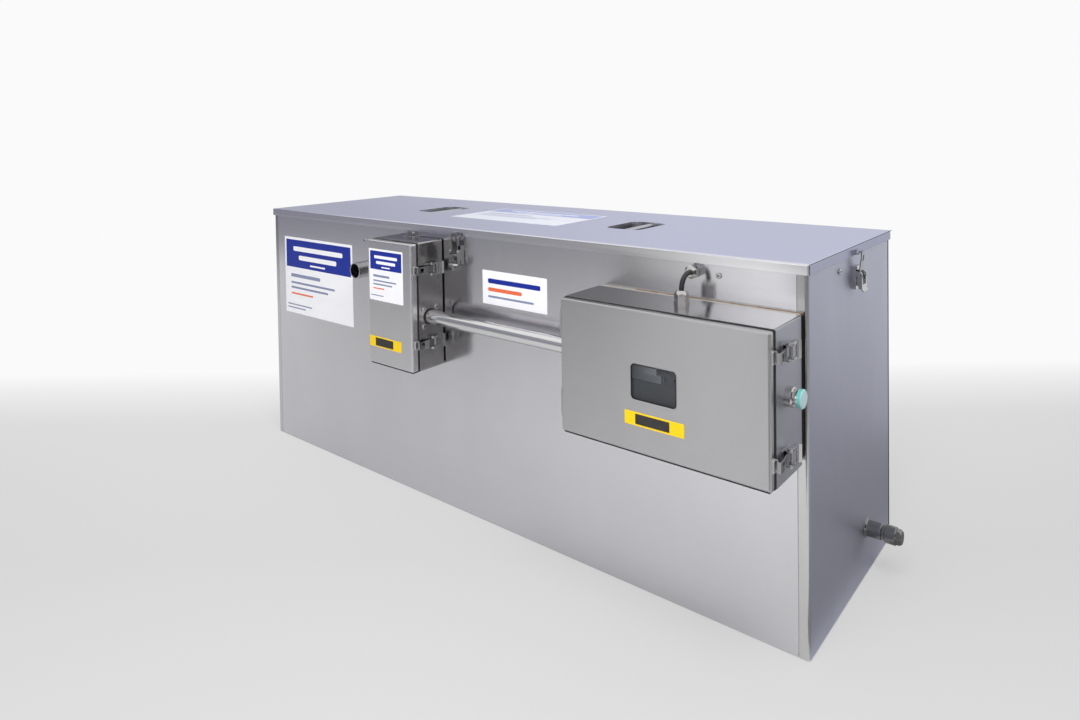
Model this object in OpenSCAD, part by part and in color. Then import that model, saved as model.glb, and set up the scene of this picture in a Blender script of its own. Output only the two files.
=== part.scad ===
// Grease trap with automatic grease draw-off: a welded stainless tank with a lift-off lid,
// a valve housing and a control housing on its front, a conduit between the two housings,
// toggle latches, a grease spout, drainage pipe stubs and a bottom drain.
// Origin: middle of the base. +X runs along the length, -Y is the front, +Z is up.

/* [Tank] */
// Length over the tank walls
tank_l = 1334; // [1200:2:1500]
// Width over the tank walls
tank_w = 404; // [360:2:520]
// Height of the tank walls, base to top flange
tank_h = 554; // [530:2:640]
// Thickness of the tank sheet
sheet = 2; // [1.5:0.5:3]
// Outside radius of the upright corners
corner_r = 5; // [4:0.5:10]
// Return of the end sheets round the upright corners
corner_return = 16; // [12:1:22]
// Width of the inward flange at the top
flange_w = 25; // [15:1:35]

/* [Lid] */
// Overhang of the lid past each wall
lid_over = 3; // [3:0.5:6]
// Height of the downturned lid rim
lid_rim = 16; // [12:1:24]
// Thickness of the lid sheet
lid_sheet = 2; // [1:0.5:2]
// Bend radius along the lid's top edges
lid_bend = 3; // [2.5:0.5:6]
// Height of the lid seal
lid_seal_h = 4; // [3:0.5:8]
// Width of the lid seal
lid_seal_w = 16; // [8:1:20]
// Distance between the two lid handles
handle_pitch = 536; // [420:2:640]
// Middle of the handles along the length
handle_mid = -10; // [-40:1:40]
// Middle of the handles across the width
handle_y = 10; // [-20:1:20]
// Size of a handle cup along the length
handle_w = 76; // [60:1:100]
// Size of a handle cup across the width
handle_l = 112; // [90:1:130]
// Corner radius of a handle cup
handle_r = 18; // [12:1:24]
// Depth of a handle cup
handle_deep = 26; // [20:1:40]
// Radius of the bar across a handle cup
handle_bar_r = 5; // [3:0.5:7]

/* [Drainage pipes] */
// Outside diameter of the inlet and outlet pipes
pipe_od = 110; // [75:1:125]
// Wall of the inlet and outlet pipes
pipe_wall = 3; // [2:0.5:5]
// Length of pipe that stands out of the tank
pipe_out = 50; // [40:1:90]
// Length of pipe inside the tank
pipe_in = 50; // [20:1:60]
// Inlet pipe axis, from the right end
inlet_inset = 127; // [100:1:150]
// Inlet pipe axis, below the tank's top
inlet_drop = 94; // [85:1:100]
// Outlet pipe axis, below the tank's top
outlet_drop = 134; // [90:1:180]

/* [Inside the tank] */
// Inlet baffle, from the right end
inlet_baffle_inset = 237; // [220:1:260]
// Outlet baffle, from the left end
outlet_baffle_inset = 200; // [150:1:260]
// Water gap under the baffles
baffle_gap = 70; // [40:1:120]
// Top edge of the baffles, below the tank's top
baffle_drop = 60; // [50:1:90]
// Folded edge along the top of a baffle
baffle_fold = 15; // [8:1:25]
// Leg of the ledges that carry the strainer basket
ledge_leg = 25; // [18:1:30]
// Ledge height, below the tank's top
ledge_drop = 174; // [165:1:200]
// Depth of the strainer basket
basket_h = 220; // [150:5:300]
// Length of the strainer basket across the tank
basket_l = 250; // [200:2:260]
// Middle of the strainer basket across the tank
basket_y = 5; // [0:1:10]
// Sheet of the strainer basket
basket_t = 1.5; // [1:0.5:2]
// Diameter of the strainer holes
strain_d = 12; // [6:1:14]
// Pitch of the strainer holes
strain_pitch = 32; // [28:1:40]
// Length of the heater rods
heater_l = 240; // [150:5:300]
// Diameter of the heater rods
heater_d = 9; // [6:0.5:12]
// Distance between the heater rods
heater_pitch = 26; // [22:1:36]

/* [Grease outlet] */
// Spout axis, left of the valve housing
spout_gap = 85; // [60:1:120]
// Spout axis, below the tank's top
spout_drop = 100; // [90:1:150]
// Outside diameter of the spout pipe
spout_od = 33.7; // [26:0.1:42]
// Wall of the spout pipe
spout_wall = 2; // [1.5:0.5:3]
// Length of spout that stands out of the tank
spout_out = 50; // [35:1:80]
// Valve line, behind the inside of the front wall
valve_inset = 50; // [46:1:60]
// Radius of the skimming cup
cup_r = 40; // [30:1:44]
// Height of the skimming cup's mouth above the spout axis
cup_rise = 60; // [50:1:68]
// Radius of the valve ball
ball_r = 16; // [14:0.5:18]
// Diameter of the valve stem
stem_d = 10; // [8:0.5:14]

/* [Drain] */
// Drain axis, from the middle towards the back
drain_y = 65; // [40:1:120]
// Drain axis above the floor
drain_z = 78; // [40:1:90]
// Outside diameter of the drain socket
drain_od = 26; // [25:0.5:34]
// Bore of the drain socket
drain_bore = 18; // [14:0.5:20]
// Length of the drain socket
drain_l = 25; // [16:1:30]
// Diameter of the plug's round shoulder
plug_od = 29; // [28:0.5:36]
// Length of the plug's neck and round shoulder
plug_l = 22; // [14:1:26]
// Width across the flats of the plug's head
plug_flats = 22; // [18:1:24]
// Length of the plug's head
plug_head = 8; // [6:1:14]

/* [Control housing] */
// Width of the control housing
control_w = 340; // [300:2:380]
// Height of the control housing
control_h = 210; // [206:2:260]
// Depth of the control housing behind its seal
control_d = 89; // [88:1:120]
// Depth of the control door
control_door_d = 12; // [12:0.5:18]
// Right side of the control housing, from the right end
control_inset = 6; // [4:1:20]
// Top of the control housing, below the tank's top
control_drop = 64; // [60:1:80]
// Middle of the window, left of the housing's middle
window_shift = 4; // [0:1:40]
// Middle of the window above the housing's middle
window_rise = 0; // [-10:1:20]
// Width of the window
window_w = 74; // [50:1:100]
// Height of the window
window_h = 52; // [40:1:70]
// Corner radius of the window
window_r = 6; // [3:0.5:12]

/* [Valve housing] */
// Width of the valve housing
valve_w = 134; // [120:2:160]
// Height of the valve housing
valve_h = 250; // [230:2:270]
// Depth of the valve housing behind its seal
valve_d = 62; // [55:1:80]
// Depth of the valve door
valve_door_d = 15; // [13:0.5:18]
// Middle of the valve housing along the length
valve_x = -128; // [-160:1:-100]
// Top of the valve housing, below the tank's top
valve_drop = 20; // [18:1:30]

/* [Housings] */
// Sheet of both housings and their doors
box_sheet = 1.5; // [1:0.25:2]
// Bend radius of the housings and doors
box_bend = 3; // [2.5:0.5:5]
// Inward lip around a housing's mouth
box_lip = 12; // [9:1:16]
// Step from a housing's side in to its door's side
door_step = 1.5; // [1.5:0.25:3]
// Mounting gasket between the control housing and the tank
control_gasket_t = 11; // [4:0.5:12]
// Mounting gasket between the valve housing and the tank
valve_gasket_t = 3; // [3:0.5:12]
// Thickness of the door seals
seal_t = 3; // [2:0.25:5]
// Width of the door seals
seal_w = 9; // [6:0.5:10]
// Step of the seals and gaskets inside the outline
seal_step = 2; // [1:0.5:4]
// Step of a door seal's outer strip inside the housing's outline
seal_edge = 0.5; // [0.5:0.25:1]
// Lip of a door seal under the door's bottom edge
seal_lip = 2.5; // [1.5:0.25:3]

/* [Conduit] */
// Outside diameter of the conduit
conduit_od = 26.9; // [26:0.1:36]
// Wall of the conduit
conduit_wall = 2; // [1.5:0.5:3]
// Conduit axis, in front of the tank wall
conduit_off = 38; // [36:1:40]
// Conduit axis, below the tank's top
conduit_drop = 167; // [160:1:180]
// Distance between the flange screws
flange_pitch = 33; // [32:0.5:36]
// Thickness of the conduit flange
flange_t = 3; // [2:0.5:5]

/* [Cable] */
// Diameter of the cable between the two glands
cable_d = 7.5; // [5:0.5:9]
// Gland on the control housing, right of its middle
gland_shift = 4; // [-20:1:60]
// Gland in the tank wall, below the tank's top
gland_drop = 22; // [21:1:25]
// Straight cable between its bend and the wall's gland
cable_run = 2; // [1:0.5:6]
// Width across the flats of the gland nuts
gland_flats = 20; // [16:1:22]
// Length of a gland outside its wall
gland_l = 20; // [16:1:21]

/* [Push button] */
// Button axis, behind the housing's front edge
button_back = 38; // [34:1:50]
// Button axis above the housing's middle
button_rise = 8; // [-5:1:10]
// Diameter of the button and its collar
button_d = 27; // [24:0.5:32]
// Length of the button's collar
collar_l = 10; // [8:0.5:16]
// Length of the button's cap
cap_l = 8; // [7:0.5:18]
// Gap between collar and cap, taken up as the button is pressed
button_gap = 4.4; // [4.2:0.1:7]

/* [Latches] */
// Distance from a lid latch's pivot up to the lid rim's lower edge
lid_latch_reach = 30; // [28:1:36]
// Front lid latch, right of the valve housing
front_latch_gap = 44; // [42:1:80]
// Lid latches on the two ends, behind the tank's middle
end_latch_y = 8; // [-20:1:30]
// Control latches, up and down from the housing's middle
control_latch_step = 70; // [62:1:80]
// Valve latches, up and down from the housing's middle
valve_latch_step = 72; // [60:1:76]
// Pivot of the control latches, behind the housing's front edge
control_latch_back = 27; // [26:1:29]
// Pivot of the valve latches, behind the housing's front edge
valve_latch_back = 27; // [26:1:29]
// Lever length of the lid latches
lid_lever = 27; // [24:1:32]
// Lever length of the control latches
control_lever = 26; // [24:1:29]
// Lever length of the valve latches
valve_lever = 28; // [24:1:29]
// Half width of the lid and valve latches
small_half = 12; // [11:0.5:13]
// Half width of the control latches
large_half = 12.5; // [12:0.5:16]
// Pivot height above a latch's base
pivot_v = 7; // [6.75:0.25:8]
// Sheet of the latches
latch_t = 1.5; // [1:0.25:1.5]

/* [Hinges and screws] */
// Radius of a hinge knuckle
knuckle_r = 4; // [3.5:0.25:5]
// Radius of a hinge pin
hinge_pin_r = 2; // [1.5:0.25:2.5]
// Length of a hinge
hinge_l = 42; // [36:1:56]
// Middle of a hinge, from the housing's top or bottom
hinge_inset = 42; // [36:1:60]
// Width of a hinge leaf
leaf_w = 22; // [16:1:26]
// Radius of the screws' shanks
screw_r = 2; // [1.5:0.25:2.5]
// Radius of the screws' heads
screw_head_r = 4.5; // [4:0.25:5.5]
// Height of the screws' heads
screw_head_h = 3; // [2:0.25:4]

/* [Clearances] */
// Radial running clearance of pins, stems and plugs
run_clear = 0.05; // [0.02:0.01:0.1]
// Gap between faces that part when something opens
part_gap = 0.3; // [0.2:0.05:0.5]
// Radial clearance of pipes and screws in their holes
hole_clear = 0.25; // [0.1:0.05:0.5]
// Gap between the tips of the latch hooks and the keepers
keeper_gap = 0.4; // [0.3:0.05:0.6]

/* [Hidden] */
$fn = 64;
// How far a cut runs past the face it opens
cut = 1;
// Leg of the weld beads and size of the small chamfers
weld = 3;
edge = 1.5;

// Tank faces
wall_x = tank_l / 2;
wall_y = tank_w / 2;
front_y = -wall_y;
inside_x = wall_x - sheet;
inside_y = wall_y - sheet;
lid_top = tank_h + lid_seal_h + lid_sheet;
lid_l = tank_l + 2 * lid_over;
lid_w = tank_w + 2 * lid_over;

// Drainage pipes and baffles
inlet_x = wall_x - inlet_inset;
inlet_z = tank_h - inlet_drop;
outlet_z = tank_h - outlet_drop;
inlet_baffle_x = wall_x - inlet_baffle_inset;
outlet_baffle_x = -wall_x + outlet_baffle_inset;
ledge_z = tank_h - ledge_drop;

// Housings: middle of the face, back and front edge
control_x = wall_x - control_inset - control_w / 2;
control_z = tank_h - control_drop - control_h / 2;
valve_z = tank_h - valve_drop - valve_h / 2;
control_back_y = front_y - control_gasket_t;
valve_back_y = front_y - valve_gasket_t;
control_edge_y = control_back_y - control_d;
valve_edge_y = valve_back_y - valve_d;
control_right = control_x + control_w / 2;
control_left = control_x - control_w / 2;
valve_right = valve_x + valve_w / 2;
valve_left = valve_x - valve_w / 2;

// Grease outlet
spout_x = valve_left - spout_gap;
spout_z = tank_h - spout_drop;
spout_r = spout_od / 2;
spout_bore = spout_r - spout_wall;
valve_y = -inside_y + valve_inset;
valve_end = 10;
valve_half = ball_r + valve_end;
valve_skin = 6;
stem_r = stem_d / 2;
cup_gap = 25;
cup_x = valve_x + valve_half + spout_r + cup_gap;
cup_wall = 2;

// Actuator in the valve housing
actuator_w = 76;
actuator_h = 104;
actuator_d = 34;
actuator_r = 8;
actuator_step = 6;
pointer_r = 13;
pointer_t = 4;
pointer_reach = 8;

// Conduit
conduit_r = conduit_od / 2;
conduit_y = front_y - conduit_off;
conduit_z = tank_h - conduit_drop;
conduit_nut_t = 6;
conduit_nut_rim = 5;
conduit_nut_r = conduit_r + conduit_nut_rim;
conduit_tail = 4;
flange_margin = 2;

// Cable and glands
gland_x = control_x + gland_shift;
gland_z = control_z + control_h / 2;
wall_gland_z = tank_h - gland_drop;
gland_r = gland_flats / 2 / cos(30);
gland_nut = 5;
gland_groove = 1;
gland_dome = 7;
gland_lip = 3;
gland_shank = 8;
gland_thread = 6;
lock_nut_t = 4;
cable_r = cable_d / 2;
cable_bend = wall_gland_z - gland_z - gland_l;
gland_y = front_y - gland_l - cable_run - cable_bend;

// Push button
button_y = control_edge_y + button_back;
button_z = control_z + button_rise;
button_r = button_d / 2;
button_rim = 4.5;
button_neck = button_r - button_rim;
neck_deep = 10;
button_shank = 11;
button_thread = 14;
button_nut_rim = 4;
button_nut_r = button_shank + button_nut_rim;
button_nut_t = 5;
button_block = 30;
block_d = 27;
block_end = 40;
cap_step = 0.5;

// Electrical gear on the rail
plate_gap = 6;
plate_y = control_back_y - box_sheet - plate_gap;
plate_margin = 26;
rail_w = 35;
rail_d = 7.5;
rail_t = 1;
rail_rise = 27;
rail_z = control_z + rail_rise;
rail_l = 250;
rail_over = 10;
rail_face_y = plate_y - box_sheet - rail_d;
spacer_r = 5;
spacer_inset = 10;
// Devices: [width, height, depth, height of the nose]
breaker_size = [36, 80, 58, 45];
timer_size = [54, 82, 54, 50];
contactor_size = [45, 78, 60, 42];
terminal_size = [54, 60, 44, 24];
nose_out = 14;
module_gap = 4;
gear_l = breaker_size[0] + timer_size[0] + contactor_size[0] + terminal_size[0] + 3 * module_gap;
gear_aside = 11.5;
gear_left = control_x - gear_aside - gear_l / 2;
timer_x = gear_left + breaker_size[0] + module_gap;
contactor_x = timer_x + timer_size[0] + module_gap;
terminal_x = contactor_x + contactor_size[0] + module_gap;

// Drain
drain_r = drain_od / 2;
drain_bore_r = drain_bore / 2;
drain_end = wall_x + drain_l;
plug_short = 2;
plug_neck = 4;
plug_inset = 2;
plug_edge = 1.5;
plug_r = plug_flats / 2 / cos(30);
plug_end = plug_l + plug_head;

// Screws in the tank walls: [x or y, z]
wall_screw_drop = 3.5;
wall_screw_z = wall_gland_z - wall_screw_drop;
gland_screw_gap = 39;
spout_screw_gap = 27;
spout_screw_rise = 56;
end_screw_y = -70;
front_screws = [
  [gland_x + gland_screw_gap, wall_screw_z],
  [spout_x - spout_screw_gap, spout_z + spout_screw_rise]
];
right_screw = [end_screw_y, wall_screw_z];
tab_w = 35;
tab_aside = 20;
tab_x = valve_x - tab_aside;
tab_foot = 16;
tab_top = valve_z + valve_h / 2;
tab_head_r = screw_head_r - 1;
tab_screw_z = tab_top + box_sheet + tab_head_r + part_gap;
tab_rise = box_sheet + 2 * tab_head_r + part_gap;

// Lip of a keeper, past the lower edge of the lid's rim or the back edge of a door
lid_lip = 3.5;
door_lip = 4;
// Latch kinds: [keeper reach, lever length, half width, height of the base, depth under the keeper]
lid_kind = [lid_latch_reach + lid_lip, lid_lever, small_half, lid_over, 0];
control_kind = [control_latch_back + seal_t + door_lip, control_lever, large_half, 0, door_step];
valve_kind = [valve_latch_back + seal_t + door_lip, valve_lever, small_half, 0, door_step];
// Latches: [kind, foot of the pivot, turn]; local +Z runs to the keeper and +X stands off the wall
lid_latch_z = lid_top - lid_rim - lid_latch_reach;
control_pivot_y = control_edge_y + control_latch_back;
valve_pivot_y = valve_edge_y + valve_latch_back;
latches = [
  [lid_kind, [valve_right + front_latch_gap, front_y, lid_latch_z], [0, 0, -90]],
  [lid_kind, [wall_x, end_latch_y, lid_latch_z], [0, 0, 0]],
  [lid_kind, [-wall_x, end_latch_y, lid_latch_z], [0, 0, 180]],
  [control_kind, [control_right, control_pivot_y, control_z + control_latch_step], [90, 0, 0]],
  [control_kind, [control_right, control_pivot_y, control_z - control_latch_step], [90, 0, 0]],
  [valve_kind, [valve_right, valve_pivot_y, valve_z + valve_latch_step], [90, 0, 0]],
  [valve_kind, [valve_right, valve_pivot_y, valve_z - valve_latch_step], [90, 0, 0]]
];
lid_latches = [0, 1, 2];
control_latches = [3, 4];
valve_latches = [5, 6];
all_latches = [0, 1, 2, 3, 4, 5, 6];
// Latch bases: the plate's ends from the lever's tip and from the pivot, its step, ears and rivets
base_toe = 3;
base_nose = 12;
base_step = 1;
ear_r = 4;
ear_t = 1.5;
ear_gap = 0.5;
rivet_r = 2;
rivet_l = 5;
rivet_out = 1;
// Latch levers: the plate's start below the pivot, its notch, the flared lip and the link pin
plate_from = 6;
notch_l = 10;
notch_side = 4;
lip_l = 4;
lip_flare = 3;
cheek_taper = 10;
cheek_low = 1;
link_u = -8;
link_v = pivot_v - 1.25;
link_r = 1.5;
link_knuckle = 3;
// Latch hooks: the step to the cheeks, the cranked part, the window and the claw
hook_side = 5;
crank_rise = 3;
crank_from = 8;
crank_to = 6;
crank_skew = 0.4;
bail_bar = 2.5;
bail_from = 13;
bail_to = 4;
claw_gap = 0.8;
// Keepers: the foot's ends from the claw's place, its sheet, its bite and the lip
keeper_back = 3;
keeper_front = 5;
keeper_t = 1.2;
keeper_bite = 0.5;
keeper_lip = 1.5;
keeper_top = 4;
keeper_side = 4;
claw_drop = keeper_top + keeper_gap;
// Hinges: knuckles off the housing's side and leaves off the knuckles
hinge_gap = 0.5;
leaf_gap = 0.6;

// Colours
steel = [0.70, 0.70, 0.72];
dull_steel = [0.58, 0.58, 0.60];
bright = [0.82, 0.82, 0.84];
rubber = [0.06, 0.06, 0.07];

// Rectangle with round corners, centred
module round_rect(w, h, r) {
  square([w - 2 * r, h], center = true);
  square([w, h - 2 * r], center = true);
  for (sx = [-1, 1], sy = [-1, 1])
    translate([sx * (w / 2 - r), sy * (h / 2 - r)]) circle(r);
}

// Frame between two rectangles with round corners, centred
module round_frame(w, h, r, band) {
  difference() {
    round_rect(w, h, r);
    round_rect(w - 2 * band, h - 2 * band, max(r - band, 0.5));
  }
}

// Rectangle standing on the X axis with its two upper corners round
module arch_rect(w, d, r) {
  translate([-w / 2, 0]) square([w, d - r]);
  translate([-w / 2 + r, 0]) square([w - 2 * r, d]);
  for (sx = [-1, 1])
    translate([sx * (w / 2 - r), d - r]) circle(r);
}

// Block whose top edges and upright corners are bent round
module bent_block(w, h, d, r) {
  intersection() {
    linear_extrude(d) round_rect(w, h, r);
    rotate([90, 0, 0]) translate([0, 0, -h / 2]) linear_extrude(h) arch_rect(w, d, r);
    rotate([90, 0, 90]) translate([0, 0, -w / 2]) linear_extrude(w) arch_rect(h, d, r);
  }
}

// Tray of sheet with its open side down
module tray(w, h, d, t, r) {
  difference() {
    bent_block(w, h, d, r);
    translate([0, 0, -cut]) bent_block(w - 2 * t, h - 2 * t, d - t + cut, max(r - t, 0.5));
  }
}

// Turns +Z to -Y, with +Y up: puts a shape on the front of the tank
module on_front(x, y, z) {
  translate([x, y, z]) rotate([90, 0, 0]) children();
}

// Turns +Z to +X: puts a shape on the right of something
module on_right(x, y, z) {
  translate([x, y, z]) rotate([0, 90, 0]) children();
}

// Plain six-sided prism by its width across the flats, a flat facing up once it is on a wall
module hexagon(flats, h) {
  rotate([0, 0, 30]) cylinder(r = flats / 2 / cos(30), h = h, $fn = 6);
}

// Screw: domed head on the face at z = 0 and a shank below it
module screw(shank, head = screw_head_r) {
  rotate_extrude() {
    square([head, screw_head_h - edge]);
    square([head - edge, screw_head_h]);
    translate([head - edge, screw_head_h - edge]) intersection() {
      circle(edge);
      square(edge);
    }
    translate([0, -shank]) square([screw_r, shank]);
  }
}

// Places a shape in a latch's own frame
module at_latch(i) {
  translate(latches[i][1]) rotate(latches[i][2]) children();
}

// Extrudes a flat outline, drawn as [outwards, to the keeper], across a latch's width
module across(half) {
  rotate([90, 0, 0]) translate([0, 0, -half]) linear_extrude(2 * half) children();
}

// A shape and its mirror image across a latch's middle
module both_sides() {
  children();
  mirror([0, 1, 0]) children();
}

// Tank wall sheet along the front, between the ends' returns, its top folded inwards
module long_wall() {
  half = wall_x - corner_return;
  translate([-half, front_y, sheet]) cube([2 * half, sheet, tank_h - sheet]);
  translate([-half, front_y + sheet / 2, tank_h - sheet])
    cube([2 * half, flange_w - sheet / 2, sheet]);
}

// Tank end sheet on the right, bent round both upright corners, its top folded inwards
module end_wall() {
  translate([0, 0, sheet]) linear_extrude(tank_h - sheet) intersection() {
    round_frame(tank_l, tank_w, corner_r, sheet);
    translate([wall_x - corner_return, front_y]) square([corner_return, tank_w]);
  }
  translate([0, 0, tank_h - sheet]) linear_extrude(sheet) intersection() {
    round_rect(tank_l, tank_w, corner_r);
    union() {
      for (y = [front_y, wall_y - flange_w])
        translate([wall_x - corner_return, y]) square([corner_return, flange_w]);
      translate([wall_x - flange_w, front_y + flange_w]) square([flange_w, tank_w - 2 * flange_w]);
    }
  }
}

// Front sheet with the holes for the spout, valve stem, gland and screws
module front_wall() color(steel) difference() {
  long_wall();
  on_front(spout_x, 0, spout_z) cylinder(r = spout_r + hole_clear, h = tank_w);
  on_front(valve_x, 0, spout_z) cylinder(r = stem_r + hole_clear, h = tank_w);
  on_front(gland_x, 0, wall_gland_z) cylinder(r = gland_shank + hole_clear, h = tank_w);
  for (s = front_screws)
    on_front(s[0], 0, s[1]) cylinder(r = screw_r + hole_clear, h = tank_w);
  on_front(tab_x, 0, tab_screw_z) cylinder(r = screw_r + hole_clear, h = tank_w);
}

// Back sheet with the hole for the inlet pipe
module back_wall() color(steel) difference() {
  rotate([0, 0, 180]) long_wall();
  translate([inlet_x, 0, inlet_z]) rotate([-90, 0, 0])
    cylinder(r = pipe_od / 2 + hole_clear, h = tank_w);
}

// Right end with the holes for the drain and a screw
module right_end() color(steel) difference() {
  end_wall();
  on_right(0, drain_y, drain_z) cylinder(r = drain_bore_r, h = tank_l);
  on_right(0, right_screw[0], right_screw[1]) cylinder(r = screw_r + hole_clear, h = tank_l);
}

// Left end with the hole for the outlet pipe
module left_end() color(steel) difference() {
  mirror([1, 0, 0]) end_wall();
  translate([0, 0, outlet_z]) rotate([0, -90, 0])
    cylinder(r = pipe_od / 2 + hole_clear, h = tank_l);
}

// Floor sheet under the four walls
module floor_pan() color(steel)
  linear_extrude(sheet) round_rect(tank_l, tank_w, corner_r);

// Baffle plate across the tank with its top edge folded towards `side`
module baffle(x, side) {
  translate([x, -inside_y, baffle_gap])
    cube([sheet, 2 * inside_y, tank_h - baffle_drop - baffle_gap]);
  translate([side > 0 ? x : x - baffle_fold + sheet, -inside_y, tank_h - baffle_drop - sheet])
    cube([baffle_fold, 2 * inside_y, sheet]);
}

module inlet_baffle() color(dull_steel) baffle(inlet_baffle_x, -1);

module outlet_baffle() color(dull_steel) baffle(outlet_baffle_x, 1);

// Weld bead around a pipe where it leaves a wall at z = 0
module weld_bead(r) {
  rotate_extrude()
    polygon([[r - weld / 2, 0], [r + weld, 0], [r, weld], [r - weld / 2, weld]]);
}

// Drainage pipe through a wall, its inner end at z = 0
module drainage_pipe() {
  difference() {
    cylinder(r = pipe_od / 2, h = pipe_in + sheet + pipe_out);
    translate([0, 0, -cut])
      cylinder(r = pipe_od / 2 - pipe_wall, h = pipe_in + sheet + pipe_out + 2 * cut);
  }
  translate([0, 0, pipe_in + sheet]) weld_bead(pipe_od / 2);
}

module inlet_pipe() color(steel)
  translate([inlet_x, inside_y - pipe_in, inlet_z]) rotate([-90, 0, 0]) drainage_pipe();

module outlet_pipe() color(steel)
  translate([-inside_x + pipe_in, 0, outlet_z]) rotate([0, -90, 0]) drainage_pipe();

// Two angle strips that carry the basket's rim
module basket_ledges() color(dull_steel) {
  basket_near = inlet_baffle_x + sheet;
  for (side = [[basket_near, 1], [inside_x, -1]])
    translate([side[0], basket_y + basket_l / 2, ledge_z]) rotate([90, 0, 0])
      linear_extrude(basket_l) {
        translate([side[1] > 0 ? 0 : -ledge_leg, -sheet]) square([ledge_leg, sheet]);
        translate([side[1] > 0 ? 0 : -sheet, -ledge_leg]) square([sheet, ledge_leg]);
      }
}

// Strainer basket hanging by its rim, with a perforated bottom and slotted sides
module strainer_basket() color(dull_steel) {
  play = 5;
  rim_gap = 3;
  slot_margin = 30;
  room_left = inlet_baffle_x + sheet + ledge_leg + play;
  room_right = inside_x - ledge_leg - play;
  basket_w = room_right - room_left;
  basket_x = (room_left + room_right) / 2;
  rim_w = basket_w + 2 * (ledge_leg - rim_gap);
  hole_x = floor((basket_w - strain_pitch) / strain_pitch / 2);
  hole_y = floor((basket_l - strain_pitch) / strain_pitch / 2);
  slot_h = basket_h - 2 * slot_margin;
  translate([basket_x, basket_y, ledge_z]) difference() {
    union() {
      translate([-rim_w / 2, -basket_l / 2, 0]) cube([rim_w, basket_l, basket_t]);
      translate([-basket_w / 2, -basket_l / 2, -basket_h])
        cube([basket_w, basket_l, basket_h + basket_t]);
    }
    translate([-basket_w / 2 + basket_t, -basket_l / 2 + basket_t, -basket_h + basket_t])
      cube([basket_w - 2 * basket_t, basket_l - 2 * basket_t, basket_h + cut]);
    for (i = [-hole_x:hole_x], j = [-hole_y:hole_y])
      translate([i * strain_pitch, j * strain_pitch, -basket_h - cut])
        cylinder(r = strain_d / 2, h = basket_t + 2 * cut, $fn = 24);
    for (i = [-hole_x:hole_x])
      translate([i * strain_pitch - strain_d / 2, -basket_l / 2 - cut, -basket_h + slot_margin])
        cube([strain_d, basket_l + 2 * cut, slot_h]);
  }
}

// Hairpin heater hanging from a terminal head behind the wall gland
module heater_element() color(bright) {
  head_w = 54;
  head_h = 36;
  head_d = 30;
  heater_y = -inside_y + head_d / 2;
  top = wall_gland_z - head_h / 2;
  translate([gland_x - head_w / 2, -inside_y, top]) cube([head_w, head_d, head_h]);
  for (s = [-1, 1])
    translate([gland_x + s * heater_pitch / 2, heater_y, top - heater_l])
      cylinder(r = heater_d / 2, h = heater_l);
  translate([gland_x, heater_y, top - heater_l]) rotate([-90, 0, 0])
    rotate_extrude(angle = 180) translate([heater_pitch / 2, 0]) circle(heater_d / 2);
}

// Pipe from the valve to the left, round a mitred bend and out through the front wall
module spout_run(r) {
  on_front(spout_x, valve_y, spout_z) cylinder(r = r, h = valve_y - front_y + spout_out);
  translate([spout_x, valve_y, spout_z]) sphere(r);
  on_right(spout_x, valve_y, spout_z) cylinder(r = r, h = valve_x - valve_half - spout_x);
}

module grease_spout() color(steel) {
  difference() {
    spout_run(spout_r);
    spout_run(spout_bore);
    on_front(spout_x, front_y, spout_z) cylinder(r = spout_bore, h = spout_out + cut);
    on_right(spout_x, valve_y, spout_z)
      cylinder(r = spout_bore, h = valve_x - valve_half - spout_x + cut);
  }
  on_front(spout_x, front_y, spout_z) weld_bead(spout_r);
}

// Ball valve with its neck standing on the inside of the front wall
module valve_body() color(bright) difference() {
  port = ball_r - valve_skin;
  union() {
    on_right(valve_x - valve_half, valve_y, spout_z)
      cylinder(r = ball_r + valve_skin, h = 2 * valve_half);
    on_front(valve_x, valve_y, spout_z) cylinder(r = stem_r + valve_skin, h = valve_inset);
  }
  on_right(valve_x, valve_y, spout_z) rotate_extrude() {
    translate([0, -valve_half - cut]) square([port, 2 * (valve_half + cut)]);
    intersection() {
      circle(ball_r + run_clear);
      translate([0, -2 * ball_r]) square(4 * ball_r);
    }
  }
  on_front(valve_x, valve_y, spout_z) cylinder(r = stem_r + run_clear, h = valve_inset + cut);
}

// Valve ball, closed, with its stem out to a pointer on the front of the actuator
module valve_ball() color(bright) {
  pointer_y = valve_back_y - box_sheet - actuator_d - part_gap;
  bore_step = 1;
  stem_in = 2;
  stem_y = valve_y - ball_r + stem_in;
  difference() {
    translate([valve_x, valve_y, spout_z]) sphere(ball_r);
    translate([valve_x, valve_y, spout_z - ball_r - cut])
      cylinder(r = ball_r - valve_skin - bore_step, h = 2 * (ball_r + cut));
  }
  on_front(valve_x, stem_y, spout_z) cylinder(r = stem_r, h = stem_y - pointer_y + pointer_t / 2);
  on_front(valve_x, pointer_y, spout_z) linear_extrude(pointer_t) {
    circle(pointer_r);
    translate([-stem_r, 0]) square([stem_d, pointer_r + pointer_reach]);
  }
}

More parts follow.
